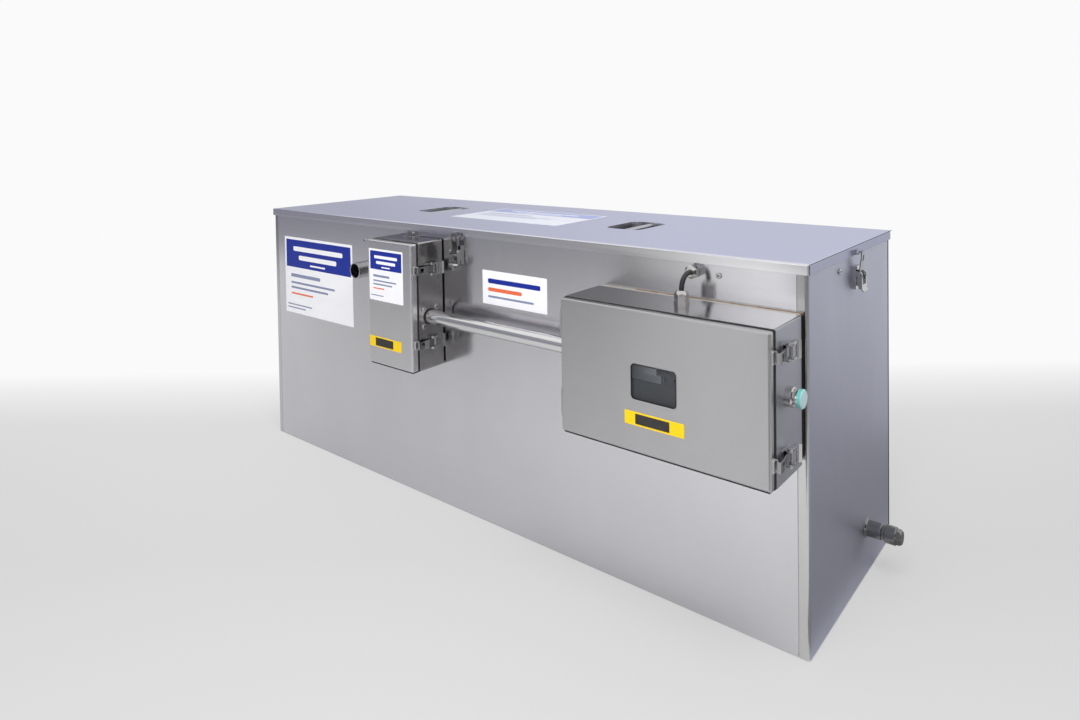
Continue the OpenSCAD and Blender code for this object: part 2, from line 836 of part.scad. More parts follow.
// Cup that skims grease off the surface and leads it down to the valve
module skim_cup() color(steel) {
  run = cup_x - valve_x - valve_half;
  cone_z = cup_rise - cup_r + spout_r;
  difference() {
    union() {
      on_right(cup_x - run, valve_y, spout_z) cylinder(r = spout_r, h = run);
      translate([cup_x, valve_y, spout_z]) sphere(spout_r);
      translate([cup_x, valve_y, spout_z]) rotate_extrude()
        polygon([[0, 0], [spout_r, 0], [spout_r, cone_z], [cup_r, cup_rise], [0, cup_rise]]);
    }
    on_right(cup_x - run - cut, valve_y, spout_z) cylinder(r = spout_bore, h = run + cut);
    translate([cup_x, valve_y, spout_z]) sphere(spout_bore);
    translate([cup_x, valve_y, spout_z]) rotate_extrude()
      polygon([
        [0, 0], [spout_bore, 0], [spout_bore, cone_z + cup_wall / 2],
        [cup_r - cup_wall, cup_rise], [cup_r - cup_wall, cup_rise + cut], [0, cup_rise + cut]
      ]);
  }
}

// Welded drain socket, with a weld bead at the wall and a chamfered mouth
module drain_socket() color(dull_steel)
  on_right(wall_x, drain_y, drain_z) rotate_extrude()
    polygon([
      [drain_bore_r, 0], [drain_r + weld, 0], [drain_r, weld], [drain_r, drain_l - edge],
      [drain_r - edge, drain_l], [drain_bore_r, drain_l]
    ]);

// Drain plug: shank in the socket, neck, round shoulder and six-sided head
module drain_plug() color(dull_steel) on_right(drain_end + part_gap, drain_y, drain_z) {
  shank = drain_l - plug_short;
  neck_r = drain_r - plug_inset;
  shoulder_r = plug_od / 2;
  translate([0, 0, -shank]) cylinder(r = drain_bore_r - run_clear, h = shank + plug_l / 2);
  rotate_extrude()
    polygon([
      [0, 0], [neck_r, 0], [neck_r, plug_neck], [shoulder_r - plug_edge, plug_neck],
      [shoulder_r, plug_neck + plug_edge], [shoulder_r, plug_l - plug_edge],
      [shoulder_r - plug_edge, plug_l], [0, plug_l]
    ]);
  intersection() {
    translate([0, 0, plug_l - cut]) hexagon(plug_flats, plug_head + cut);
    rotate_extrude()
      polygon([
        [0, 0], [plug_r, 0], [plug_r, plug_end - 2 * plug_edge],
        [plug_flats / 2 - plug_edge / 2, plug_end], [0, plug_end]
      ]);
  }
}

// Housing of bent sheet with an inward lip around its open front; its back is at z = 0
module housing(w, h, d) {
  difference() {
    linear_extrude(d) round_rect(w, h, box_bend);
    translate([0, 0, box_sheet]) linear_extrude(d - 2 * box_sheet)
      round_rect(w - 2 * box_sheet, h - 2 * box_sheet, box_bend - box_sheet);
    linear_extrude(4 * d) round_rect(w - 2 * box_lip, h - 2 * box_lip, box_bend);
  }
  linear_extrude(box_sheet) round_rect(w, h, box_bend);
}

// Four screw places around the conduit where it enters the valve housing
module at_flange_screws() {
  for (sy = [-1, 1], sz = [-1, 1])
    on_right(valve_right, conduit_y + sy * flange_pitch / 2, conduit_z + sz * flange_pitch / 2)
      children();
}

module control_box() color(steel) difference() {
  on_front(control_x, control_back_y, control_z) housing(control_w, control_h, control_d);
  on_right(control_left - cut, conduit_y, conduit_z)
    cylinder(r = conduit_r + hole_clear, h = 4 * cut + box_sheet);
  on_right(control_right - box_sheet - cut, button_y, button_z)
    cylinder(r = button_shank + hole_clear, h = 4 * cut);
  translate([gland_x, gland_y, gland_z - box_sheet - cut])
    cylinder(r = gland_shank + hole_clear, h = 4 * cut);
}

// Frame of foam between a housing and the tank
module box_gasket(x, z, w, h, thick) {
  on_front(x, front_y, z) linear_extrude(thick)
    round_frame(w - 4 * seal_step, h - 4 * seal_step, box_bend, 2 * seal_w);
}

module control_gasket() color(rubber)
  box_gasket(control_x, control_z, control_w, control_h, control_gasket_t);

module valve_gasket() color(rubber)
  box_gasket(valve_x, valve_z, valve_w, valve_h, valve_gasket_t);

// Plate on four spacers that carries the rail
module mounting_plate() color([0.86, 0.86, 0.84]) {
  plate_w = control_w - 2 * plate_margin;
  plate_h = control_h - 2 * plate_margin;
  on_front(control_x, plate_y, control_z) {
    linear_extrude(box_sheet) round_rect(plate_w, plate_h, box_bend);
    for (sx = [-1, 1], sy = [-1, 1])
      translate([sx * (plate_w / 2 - spacer_inset), sy * (plate_h / 2 - spacer_inset), -plate_gap])
        cylinder(r = spacer_r, h = plate_gap + box_sheet / 2);
  }
}

// Top-hat rail, drawn in section and run along the plate
module din_rail() color(bright) {
  flat = 4.5;
  inner = rail_w - 2 * flat;
  translate([gear_left - rail_over, plate_y - box_sheet, rail_z]) rotate([90, 0, 90])
    linear_extrude(rail_l) {
      translate([-rail_t, -inner / 2]) square([rail_t, inner]);
      for (s = [-1, 1]) {
        translate([-rail_d, s > 0 ? inner / 2 - rail_t : -inner / 2])
          square([rail_d, rail_t]);
        translate([-rail_d, s > 0 ? inner / 2 - rail_t : -rail_w / 2])
          square([rail_t, flat + rail_t]);
      }
    }
}

// Stepped casing of a rail-mounted device: a low body with a raised nose in the middle
module rail_device(x, size) {
  h = size[1];
  deep = size[2];
  nose = size[3];
  translate([x, rail_face_y, rail_z]) rotate([90, 0, 90]) linear_extrude(size[0]) {
    translate([-deep + nose_out, -h / 2]) square([deep - nose_out, h]);
    translate([-deep, -nose / 2]) square([deep, nose]);
  }
}

// Places a shape at each of a device's ways, from its nose's or shoulder's depth
module at_ways(x, size, ways, deep, rise) {
  pitch = size[0] / ways;
  for (i = [0:ways - 1])
    on_front(x + (i + 0.5) * pitch, rail_face_y - deep, rail_z + rise) children();
}

// Two-pole breaker with its toggles up
module circuit_breaker() color([0.90, 0.90, 0.88]) {
  toggle = [8, 14, 10];
  toggle_out = 6;
  toggle_rise = 9;
  rail_device(gear_left, breaker_size);
  at_ways(gear_left, breaker_size, 2, breaker_size[2] + toggle_out - toggle[2] / 2, toggle_rise)
    cube(toggle, center = true);
}

// Timer with a setting dial
module timer_module() color([0.30, 0.33, 0.36]) {
  dial_r = 9;
  dial_t = 4;
  rail_device(timer_x, timer_size);
  at_ways(timer_x, timer_size, 1, timer_size[2], 0) cylinder(r = dial_r, h = dial_t);
}

// Contactor with rows of terminal screws
module contactor() color([0.22, 0.24, 0.26]) difference() {
  pit_r = 4;
  pit_deep = 4;
  row = 30;
  rail_device(contactor_x, contactor_size);
  for (s = [-1, 1])
    at_ways(contactor_x, contactor_size, 3, contactor_size[2] - nose_out - pit_deep, s * row)
      cylinder(r = pit_r, h = pit_deep + cut);
}

// Strip of terminal blocks with a wire hole in each
module terminal_strip() color([0.75, 0.73, 0.66]) difference() {
  pit_r = 3;
  pit_deep = 3;
  row = 21;
  rail_device(terminal_x, terminal_size);
  for (s = [-1, 1])
    at_ways(terminal_x, terminal_size, 6, terminal_size[2] - nose_out - pit_deep, s * row)
      cylinder(r = pit_r, h = pit_deep + cut);
}

// Bright collar of the push button, its threaded shank, nut and contact block inside the housing
module button_collar() color(bright) on_right(control_right, button_y, button_z) difference() {
  union() {
    rotate_extrude()
      polygon([
        [0, 0], [button_r, 0], [button_r, collar_l - edge], [button_r - edge, collar_l], [0, collar_l]
      ]);
    translate([0, 0, -button_thread]) cylinder(r = button_shank, h = button_thread + cut);
    translate([0, 0, -box_sheet - button_nut_t]) cylinder(r = button_nut_r, h = button_nut_t);
    translate([-button_block / 2, -button_block / 2, -block_end])
      cube([button_block, button_block, block_d]);
  }
  translate([0, 0, -neck_deep])
    cylinder(r = button_neck + run_clear, h = collar_l + neck_deep + cut);
}

// Push cap on its neck, standing proud of the collar by its travel
module start_button() color([0.40, 0.75, 0.70]) on_right(control_right + collar_l, button_y, button_z) {
  cap_r = button_r - cap_step;
  translate([0, 0, -collar_l]) cylinder(r = button_neck, h = collar_l + button_gap + cut);
  translate([0, 0, button_gap]) rotate_extrude()
    polygon([[0, 0], [cap_r, 0], [cap_r, cap_l - edge], [cap_r - edge, cap_l], [0, cap_l]]);
}

// Cable gland: six-sided body on the wall, domed clamping nut and a shank through the wall
module cable_gland(shank) {
  nut_from = gland_nut + gland_groove;
  difference() {
    union() {
      hexagon(gland_flats, gland_nut);
      cylinder(r = gland_flats / 2 - edge, h = gland_l - gland_dome / 2);
      intersection() {
        translate([0, 0, nut_from]) hexagon(gland_flats - gland_groove, gland_l - nut_from);
        rotate_extrude()
          polygon([
            [0, 0], [gland_r, 0], [gland_r, gland_l - gland_dome],
            [cable_r + gland_lip, gland_l], [0, gland_l]
          ]);
      }
      translate([0, 0, -shank]) cylinder(r = gland_shank, h = shank + cut);
    }
    translate([0, 0, -shank - cut]) cylinder(r = cable_r, h = shank + gland_l + 2 * cut);
  }
}

// Gland on top of the control housing with its lock nut inside
module box_gland() color(bright) translate([gland_x, gland_y, gland_z]) {
  cable_gland(box_sheet + gland_thread);
  translate([0, 0, -box_sheet - lock_nut_t]) difference() {
    hexagon(gland_flats + 2 * gland_groove, lock_nut_t);
    translate([0, 0, -cut]) cylinder(r = gland_shank - gland_groove, h = lock_nut_t + 2 * cut);
  }
}

module wall_gland() color(bright) on_front(gland_x, front_y, wall_gland_z) cable_gland(sheet);

// Cable up out of the housing's gland, round a quarter bend and into the wall's gland
module control_cable() color(rubber) {
  bend_y = gland_y + cable_bend;
  translate([gland_x, gland_y, gland_z]) cylinder(r = cable_r, h = gland_l);
  translate([gland_x, bend_y, gland_z + gland_l]) rotate([90, 0, -90])
    rotate_extrude(angle = 90) translate([cable_bend, 0]) circle(cable_r);
  on_front(gland_x, front_y, wall_gland_z) cylinder(r = cable_r, h = front_y - bend_y);
}

// Valve housing with a fixing tab that reaches back to the tank wall
module valve_box() color(steel) {
  difference() {
    on_front(valve_x, valve_back_y, valve_z) housing(valve_w, valve_h, valve_d);
    on_right(valve_right - box_sheet - cut, conduit_y, conduit_z)
      cylinder(r = conduit_r + hole_clear, h = 4 * cut);
    on_front(valve_x, valve_back_y + cut, spout_z) cylinder(r = stem_r + hole_clear, h = 4 * cut);
    at_flange_screws() translate([0, 0, -2 * box_sheet])
      cylinder(r = screw_r + hole_clear, h = 3 * box_sheet);
  }
  difference() {
    union() {
      translate([tab_x - tab_w / 2, valve_back_y - tab_foot, tab_top])
        cube([tab_w, tab_foot + valve_gasket_t, box_sheet]);
      translate([tab_x - tab_w / 2, front_y - box_sheet, tab_top]) cube([tab_w, box_sheet, tab_rise]);
    }
    on_front(tab_x, front_y + cut, tab_screw_z) cylinder(r = screw_r + hole_clear, h = 4 * cut);
  }
}

// Actuator casing with a bore for the valve stem
module valve_actuator() color([0.16, 0.17, 0.19])
  on_front(valve_x, valve_back_y - box_sheet, spout_z) difference() {
    union() {
      linear_extrude(actuator_d - actuator_step) round_rect(actuator_w, actuator_h, actuator_r);
      linear_extrude(actuator_d)
        round_rect(actuator_w - 2 * actuator_step, actuator_h - 2 * actuator_step, actuator_r);
    }
    translate([0, 0, -cut]) cylinder(r = stem_r + run_clear, h = actuator_d + 2 * cut);
  }

// Conduit between the housings, with a screwed flange in one and a nut in the other
module conduit_pipe() color(steel) difference() {
  flange_face = valve_right - box_sheet;
  nut_face = control_left + box_sheet;
  flange_side = flange_pitch + 2 * (screw_head_r + flange_margin);
  pipe_from = flange_face - flange_t - conduit_tail;
  pipe_to = nut_face + conduit_nut_t + conduit_tail;
  union() {
    on_right(pipe_from, conduit_y, conduit_z) cylinder(r = conduit_r, h = pipe_to - pipe_from);
    on_right(flange_face - flange_t, conduit_y, conduit_z)
      linear_extrude(flange_t) square(flange_side, center = true);
    on_right(nut_face, conduit_y, conduit_z) hexagon(2 * conduit_nut_r, conduit_nut_t);
  }
  on_right(valve_x, conduit_y, conduit_z)
    cylinder(r = conduit_r - conduit_wall, h = control_x - valve_x);
  at_flange_screws() translate([0, 0, -box_sheet - flange_t - cut])
    cylinder(r = screw_r + hole_clear, h = flange_t + cut);
}

// Base of a latch: plate on the wall, two ears and the rivets that the lever turns on
module latch_base(kind) {
  lever_l = kind[1];
  half = kind[2];
  up = kind[3];
  ear_out = half - latch_t - ear_gap;
  translate([0, -half + base_step, -lever_l + base_toe])
    cube([up + latch_t, 2 * (half - base_step), lever_l - base_toe + base_nose]);
  both_sides() {
    translate([up, ear_out - ear_t, -ear_r]) cube([pivot_v, ear_t, 2 * ear_r]);
    translate([up + pivot_v, ear_out, 0]) rotate([90, 0, 0]) cylinder(r = ear_r, h = ear_t);
    translate([up + pivot_v, half + rivet_out, 0]) rotate([90, 0, 0])
      cylinder(r = rivet_r, h = rivet_l);
  }
}

// Lever: two cheeks on the rivets, a notched plate between them, a flared lip and the link pin
module latch_lever(kind) {
  lever_l = kind[1];
  half = kind[2];
  pivot = kind[3] + pivot_v;
  notch = half - notch_side;
  face = pivot + ear_r;
  plate = face - latch_t;
  tip = -lever_l;
  difference() {
    union() {
      both_sides() translate([0, half, 0]) rotate([90, 0, 0])
        linear_extrude(latch_t) {
          translate([pivot, 0]) circle(ear_r);
          polygon([
            [pivot - ear_r, 0], [face, 0], [face, tip + lip_l],
            [pivot - cheek_low, tip + lip_l], [pivot - ear_r, tip + lip_l + cheek_taper]
          ]);
        }
      across(half) polygon([
        [plate, -plate_from], [plate, tip + lip_l - 1], [plate + lip_flare, tip],
        [face + lip_flare, tip + 1], [face, tip + lip_l], [face, -plate_from]
      ]);
    }
    translate([plate - cut, -notch, -plate_from - notch_l])
      cube([latch_t + 2 * cut, 2 * notch, notch_l + cut]);
    translate([pivot, half + cut, 0]) rotate([90, 0, 0])
      cylinder(r = rivet_r + run_clear, h = 2 * (half + cut));
  }
  translate([kind[3] + link_v, half - latch_t / 2, link_u]) rotate([90, 0, 0])
    cylinder(r = link_r, h = 2 * half - latch_t);
}

// Hook: knuckle on the lever's link pin and a cranked, windowed plate with a claw behind the keeper
module latch_hook(kind) {
  reach = kind[0];
  half = kind[2];
  up = kind[3];
  hook_half = half - hook_side;
  bail_half = hook_half - bail_bar;
  low = up + link_v - latch_t / 2;
  top = low + crank_rise;
  claw = reach + claw_gap;
  difference() {
    union() {
      across(hook_half) polygon([
        [low, link_u], [low, crank_from], [top, reach - crank_to], [top, claw], [up + claw_drop, claw],
        [up + claw_drop, claw + latch_t], [top + latch_t, claw + latch_t],
        [top + latch_t, reach - crank_to - crank_skew], [low + latch_t, crank_from - crank_skew],
        [low + latch_t, link_u]
      ]);
      translate([up + link_v, hook_half, link_u]) rotate([90, 0, 0])
        cylinder(r = link_knuckle, h = 2 * hook_half);
    }
    translate([low - cut, -bail_half, reach - bail_from])
      cube([crank_rise + latch_t + 2 * cut, 2 * bail_half, bail_from - bail_to]);
    translate([up + link_v, half, link_u]) rotate([90, 0, 0])
      cylinder(r = link_r + run_clear, h = 2 * half);
  }
}

// Keeper: a foot on the lid or door and a lip that the claw draws on
module latch_keeper(kind) {
  reach = kind[0];
  up = kind[3];
  foot = up - keeper_bite - kind[4];
  lip_front = reach - keeper_back + keeper_lip;
  across(kind[2] - keeper_side) polygon([
    [foot, reach - keeper_back], [up + keeper_top, reach - keeper_back],
    [up + keeper_top, lip_front], [up + keeper_t, lip_front],
    [up + keeper_t, reach + keeper_front], [foot, reach + keeper_front]
  ]);
}

module latch_bases() color(bright)
  for (i = all_latches)
    at_latch(i) latch_base(latches[i][0]);

module lever(i) color(bright) at_latch(i) latch_lever(latches[i][0]);

module hook(i) color(bright) at_latch(i) latch_hook(latches[i][0]);

// One half of a hinge along +Z: knuckles at the given spans, a leaf on one side of the axis and
// the leaf's thickness
module hinge_half(spans, side, leaf, thick) {
  leaf_x = knuckle_r + hinge_gap - latch_t;
  neck = knuckle_r + 2 * hinge_gap;
  leaf_from = knuckle_r + leaf_gap;
  difference() {
    union() {
      for (s = spans) {
        translate([0, 0, s[0]]) cylinder(r = knuckle_r, h = s[1] - s[0]);
        translate([leaf_x, side > 0 ? 0 : -neck, s[0]]) cube([latch_t, neck, s[1] - s[0]]);
      }
      translate([leaf_x, side > 0 ? leaf_from : -leaf_from - leaf, 0]) cube([thick, leaf, hinge_l]);
    }
    if (side < 0)
      translate([0, 0, -cut]) cylinder(r = hinge_pin_r + run_clear, h = hinge_l + 2 * cut);
  }
  if (side > 0) cylinder(r = hinge_pin_r, h = hinge_l);
}

// Places of a housing's two hinges on its left side
module at_hinges(x, edge_y, z, h) {
  for (s = [-1, 1])
    translate([
      x - knuckle_r - hinge_gap, edge_y - seal_t / 2, z + s * (h / 2 - hinge_inset) - hinge_l / 2
    ]) children();
}

// Hinge halves on the housings: outer knuckles, leaf and pin
module fixed_hinge() {
  third = hinge_l / 3;
  hinge_half([[0, third], [2 * third, hinge_l]], 1, leaf_w, latch_t);
}

// Hinge half on a door: middle knuckle and a leaf packed out to the door's side
module door_hinge(door_d) {
  third = hinge_l / 3;
  span = [third + part_gap, 2 * third - part_gap];
  hinge_half([span], -1, door_d - box_bend - knuckle_r, latch_t + door_step);
}

module hinge_leaves() color(dull_steel) {
  at_hinges(control_left, control_edge_y, control_z, control_h) fixed_hinge();
  at_hinges(valve_left, valve_edge_y, valve_z, valve_h) fixed_hinge();
}

// Screws in the tank walls, the valve housing's tab and the conduit flange
module screws() color(bright) {
  for (s = front_screws)
    on_front(s[0], front_y, s[1]) screw(sheet);
  on_right(wall_x, right_screw[0], right_screw[1]) screw(sheet);
  on_front(tab_x, front_y - box_sheet, tab_screw_z) screw(sheet + box_sheet, tab_head_r);
  at_flange_screws() screw(box_sheet + flange_t);
}

// Cups of the two lid handles, placed on the lid
module at_handles() {
  for (s = [-1, 1])
    translate([handle_mid + s * handle_pitch / 2, handle_y, lid_top - lid_sheet]) children();
}

// Lid sheet with a downturned rim, openings for the handle cups and latch keepers
module lid() color(steel) {
  difference() {
    translate([0, 0, lid_top - lid_rim]) tray(lid_l, lid_w, lid_rim, lid_sheet, lid_bend);
    at_handles() translate([0, 0, -cut]) linear_extrude(lid_sheet + 2 * cut)
      round_rect(handle_w, handle_l, handle_r);
  }
  for (i = lid_latches)
    at_latch(i) latch_keeper(latches[i][0]);
}

// Dished cups welded under the lid, each with a grip bar across its mouth
module lid_handles() color(dull_steel) at_handles() {
  cup_t = 1.5;
  land = 8;
  translate([0, 0, -cup_t]) linear_extrude(cup_t)
    round_frame(handle_w + 2 * land, handle_l + 2 * land, handle_r + land, land);
  difference() {
    translate([0, 0, -handle_deep]) linear_extrude(handle_deep)
      round_rect(handle_w + 2 * cup_t, handle_l + 2 * cup_t, handle_r + cup_t);
    translate([0, 0, -handle_deep + cup_t]) linear_extrude(handle_deep)
      round_rect(handle_w, handle_l, handle_r);
  }
  translate([0, 0, -handle_bar_r]) rotate([90, 0, 0])
    translate([0, 0, -handle_l / 2 - cup_t / 2]) cylinder(r = handle_bar_r, h = handle_l + cup_t);
}

// Rubber seal under the lid
module lid_seal() color(rubber)
  translate([0, 0, tank_h + part_gap]) linear_extrude(lid_seal_h - part_gap)
    round_frame(tank_l - 2 * sheet, tank_w - 2 * sheet, corner_r, lid_seal_w);

// Door of bent sheet over a housing's mouth, a step smaller than the housing all round
module door_tray(x, edge_y, z, w, h, deep) {
  on_front(x, edge_y - seal_t, z)
    tray(w - 2 * door_step, h - 2 * door_step, deep, box_sheet, box_bend);
}

module control_door() color(steel) {
  difference() {
    door_tray(control_x, control_edge_y, control_z, control_w, control_h, control_door_d);
    on_front(control_x - window_shift, control_edge_y, control_z + window_rise)
      linear_extrude(4 * control_door_d) round_rect(window_w, window_h, window_r);
  }
  for (i = control_latches)
    at_latch(i) latch_keeper(latches[i][0]);
  at_hinges(control_left, control_edge_y, control_z, control_h) door_hinge(control_door_d);
}

// Glazing behind the window opening
module door_window() color([0.20, 0.24, 0.26, 0.5]) {
  pane_t = 3;
  lap = 8;
  pane_y = control_edge_y - seal_t - control_door_d + box_sheet + pane_t;
  on_front(control_x - window_shift, pane_y, control_z + window_rise)
    linear_extrude(pane_t) round_rect(window_w + 2 * lap, window_h + 2 * lap, window_r);
}

// Rubber frame that a door closes with: a strip under the door's edge, a deep rib inside the door
// and a lip under its bottom edge
module door_seal(x, edge_y, z, w, h, deep) {
  rib_in = door_step + box_sheet + seal_step;
  on_front(x, edge_y - part_gap, z) {
    linear_extrude(seal_t - part_gap)
      round_frame(w - 2 * seal_edge, h - 2 * seal_edge, box_bend, rib_in + seal_w - seal_edge);
    linear_extrude(seal_t - part_gap + deep - box_sheet)
      round_frame(w - 2 * rib_in, h - 2 * rib_in, box_bend, seal_w);
    translate([door_step + box_bend - w / 2, door_step - seal_lip - h / 2, 0])
      cube([w - 2 * door_step - 2 * box_bend, seal_lip, seal_t - part_gap + deep - box_bend]);
  }
}

module control_seal() color(rubber)
  door_seal(control_x, control_edge_y, control_z, control_w, control_h, control_door_d);

module valve_door() color(steel) {
  door_tray(valve_x, valve_edge_y, valve_z, valve_w, valve_h, valve_door_d);
  for (i = valve_latches)
    at_latch(i) latch_keeper(latches[i][0]);
  at_hinges(valve_left, valve_edge_y, valve_z, valve_h) door_hinge(valve_door_d);
}

module valve_seal() color(rubber)
  door_seal(valve_x, valve_edge_y, valve_z, valve_w, valve_h, valve_door_d);

front_wall();
back_wall();
left_end();
right_end();
floor_pan();
inlet_baffle();
outlet_baffle();
inlet_pipe();
outlet_pipe();
basket_ledges();
strainer_basket();
heater_element();
grease_spout();
valve_body();
skim_cup();
drain_socket();
control_box();
control_gasket();
mounting_plate();
din_rail();
circuit_breaker();
timer_module();
contactor();
terminal_strip();
button_collar();
box_gland();
wall_gland();
control_cable();
valve_box();
valve_gasket();
valve_actuator();
conduit_pipe();
latch_bases();
hinge_leaves();
screws();
lid();
lid_handles();
lid_seal();
control_door();
door_window();
control_seal();
valve_door();
valve_seal();
start_button();
drain_plug();
valve_ball();
lever(0);  // front_latch_lever
hook(0);  // front_latch_hook
lever(1);  // right_latch_lever
hook(1);  // right_latch_hook
lever(2);  // left_latch_lever
hook(2);  // left_latch_hook
lever(3);  // control_upper_lever
hook(3);  // control_upper_hook
lever(4);  // control_lower_lever
hook(4);  // control_lower_hook
lever(5);  // valve_upper_lever
hook(5);  // valve_upper_hook
lever(6);  // valve_lower_lever
hook(6);  // valve_lower_hook
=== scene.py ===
"""Looks of a stainless grease trap: finishes, labels, sealant, fastener detail and a studio."""

from __future__ import annotations

import logging
import math
import random
from dataclasses import dataclass
from enum import Enum
from functools import cached_property
from typing import Iterable, Iterator, Sequence

import bmesh
import bpy
from bpy.types import Material, Node, NodeTree, Object
from mathutils import Matrix, Vector

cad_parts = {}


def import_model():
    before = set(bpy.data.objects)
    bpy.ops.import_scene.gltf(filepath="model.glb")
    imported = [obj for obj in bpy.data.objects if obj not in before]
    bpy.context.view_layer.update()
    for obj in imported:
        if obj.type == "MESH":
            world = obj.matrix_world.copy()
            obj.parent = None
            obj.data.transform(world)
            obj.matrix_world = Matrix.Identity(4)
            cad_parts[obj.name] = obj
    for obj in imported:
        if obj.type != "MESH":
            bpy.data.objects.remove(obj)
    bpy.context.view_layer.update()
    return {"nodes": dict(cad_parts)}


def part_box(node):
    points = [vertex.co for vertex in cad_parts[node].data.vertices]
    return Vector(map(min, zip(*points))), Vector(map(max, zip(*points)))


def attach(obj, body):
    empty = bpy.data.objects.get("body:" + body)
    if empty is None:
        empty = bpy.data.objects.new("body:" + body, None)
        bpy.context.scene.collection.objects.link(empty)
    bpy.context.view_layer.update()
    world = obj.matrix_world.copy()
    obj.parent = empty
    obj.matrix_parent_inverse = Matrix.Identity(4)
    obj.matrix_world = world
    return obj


LOG = logging.getLogger("grease_trap")
MM = 0.001
# Depth that thin trim sinks into what carries it
SUNK = 0.05 * MM
# Span that most values of a noise lie in
CLOUD = (0.3, 0.7)
# Face of a sheet with four corners
ONE_FACE = ((0, 1, 2, 3),)

Colour = tuple[float, float, float]
Point = tuple[float, float, float]
Span = tuple[float, float]
Area = tuple[float, float, float, float]
Outline = list[tuple[float, float]]
Socket = bpy.types.NodeSocket
Sockets = bpy.types.bpy_prop_collection
Number = Socket | float
Feeds = dict[str | int, object]


def srgb(red: int, green: int, blue: int) -> Colour:
    """Turn a colour as seen on a screen, 0 to 255, into linear light."""
    shares = [channel / 255 for channel in (red, green, blue)]
    return tuple(s / 12.92 if s <= 0.04045 else ((s + 0.055) / 1.055) ** 2.4 for s in shares)


def rgba(colour: Colour, shade: float = 1.0) -> tuple[float, float, float, float]:
    """Give a colour socket's four values, darker or lighter by a factor."""
    return (colour[0] * shade, colour[1] * shade, colour[2] * shade, 1.0)


class Facing(Enum):
    """Way that a flat piece looks: its right, its top and its front."""

    FRONT = ((1, 0, 0), (0, 0, 1), (0, -1, 0))
    TOP = ((1, 0, 0), (0, 1, 0), (0, 0, 1))
    RIGHT = ((0, 1, 0), (0, 0, 1), (1, 0, 0))

    def seat(self, at: Vector) -> Matrix:
        """Give the matrix that lays a flat drawing on a face, with its origin at a point."""
        columns = Matrix([Vector(axis) for axis in self.value]).transposed()
        return Matrix.Translation(at) @ columns.to_4x4()


class Grain(Enum):
    """Direction of a brushed sheet's lines, as how often they change along X, Y and Z."""

    ALONG_X = (4.0, 700.0, 700.0)
    ALONG_Y = (700.0, 4.0, 700.0)
    ALONG_Z = (700.0, 700.0, 4.0)
    TURNED_X = (900.0, 25.0, 25.0)
    TURNED_Y = (25.0, 900.0, 25.0)
    TURNED_Z = (25.0, 25.0, 900.0)


class Graph:
    """Writes nodes and links into one shader tree."""

    def __init__(self, tree: NodeTree) -> None:
        """Keep the tree that the nodes go into."""
        self.tree = tree

    def feed(self, node: Node, feeds: Feeds) -> None:
        """Link sockets to a node's inputs, or set plain values on them.

        Args:
            node: The node.
            feeds: A socket or a value for each input, by name or number.
        """
        for key, value in feeds.items():
            if isinstance(value, Socket):
                self.tree.links.new(value, node.inputs[key])
            else:
                node.inputs[key].default_value = value

    def node(self, kind: str, feeds: Feeds | None = None, **settings: object) -> Node:
        """Add a node, set its properties and feed its inputs.

        Args:
            kind: Blender's type name of the node.
            feeds: A socket or a value for each input, by name or number.
            settings: Properties of the node itself.

        Returns:
            The new node.
        """
        made = self.tree.nodes.new(kind)
        for name, value in settings.items():
            setattr(made, name, value)
        self.feed(made, feeds or {})
        return made

    def group(self, tree: NodeTree, **values: object) -> Sockets:
        """Place a shared effect with its own values and give its outputs."""
        return self.node("ShaderNodeGroup", values, node_tree=tree).outputs

    def maths(self, operation: str, a: Number, b: Number = 0.0, clamp: bool = False) -> Socket:
        """Combine two numbers."""
        return self.node("ShaderNodeMath", {0: a, 1: b}, operation=operation, use_clamp=clamp).outputs[0]

    def remap(
        self, value: Socket, low: float, high: float, to_low: float = 0.0, to_high: float = 1.0
    ) -> Socket:
        """Stretch the span from low to high over another span, and stop at its ends."""
        feeds = {"Value": value, "From Min": low, "From Max": high, "To Min": to_low, "To Max": to_high}
        return self.node("ShaderNodeMapRange", feeds).outputs[0]

    def mix(self, share: Number, a: Socket | tuple, b: Socket | tuple) -> Socket:
        """Blend two colours."""
        return self.node("ShaderNodeMix", {0: share, 6: a, 7: b}, data_type="RGBA").outputs[2]

    def scaled(self, vector: Socket, factors: Socket | Sequence[float]) -> Socket:
        """Stretch coordinates."""
        return self.node("ShaderNodeVectorMath", {0: vector, 1: factors}, operation="MULTIPLY").outputs[0]

    def dot(self, a: Socket, b: Socket | Vector) -> Socket:
        """Give how far two directions agree, or how far a point lies along one."""
        return self.node("ShaderNodeVectorMath", {0: a, 1: b}, operation="DOT_PRODUCT").outputs["Value"]

    def split(self, vector: Socket) -> Sockets:
        """Take a vector apart into X, Y and Z."""
        return self.node("ShaderNodeSeparateXYZ", {0: vector}).outputs

    def noise(
        self, vector: Socket, scale: Number, detail: float, roughness: float = 0.5, distortion: float = 0.0
    ) -> Socket:
        """Give a cloud of values from 0 to 1."""
        feeds = {"Vector": vector, "Scale": scale, "Detail": detail, "Roughness": roughness}
        return self.node("ShaderNodeTexNoise", {**feeds, "Distortion": distortion}).outputs[0]

    def bump(self, height: Socket, strength: float, distance: float, **normal: Socket) -> Socket:
        """Tilt the surface, or the normal that is given, by a height."""
        feeds = {"Height": height, "Strength": strength, "Distance": distance, **normal}
        return self.node("ShaderNodeBump", feeds).outputs[0]

    def place(self) -> Socket:
        """Give the point on the piece, in metres, which moves with the piece."""
        return self.node("ShaderNodeTexCoord").outputs["Object"]

    def geometry(self, fact: str) -> Socket:
        """Give the surface's Normal or its Position in the room."""
        return self.node("ShaderNodeNewGeometry").outputs[fact]


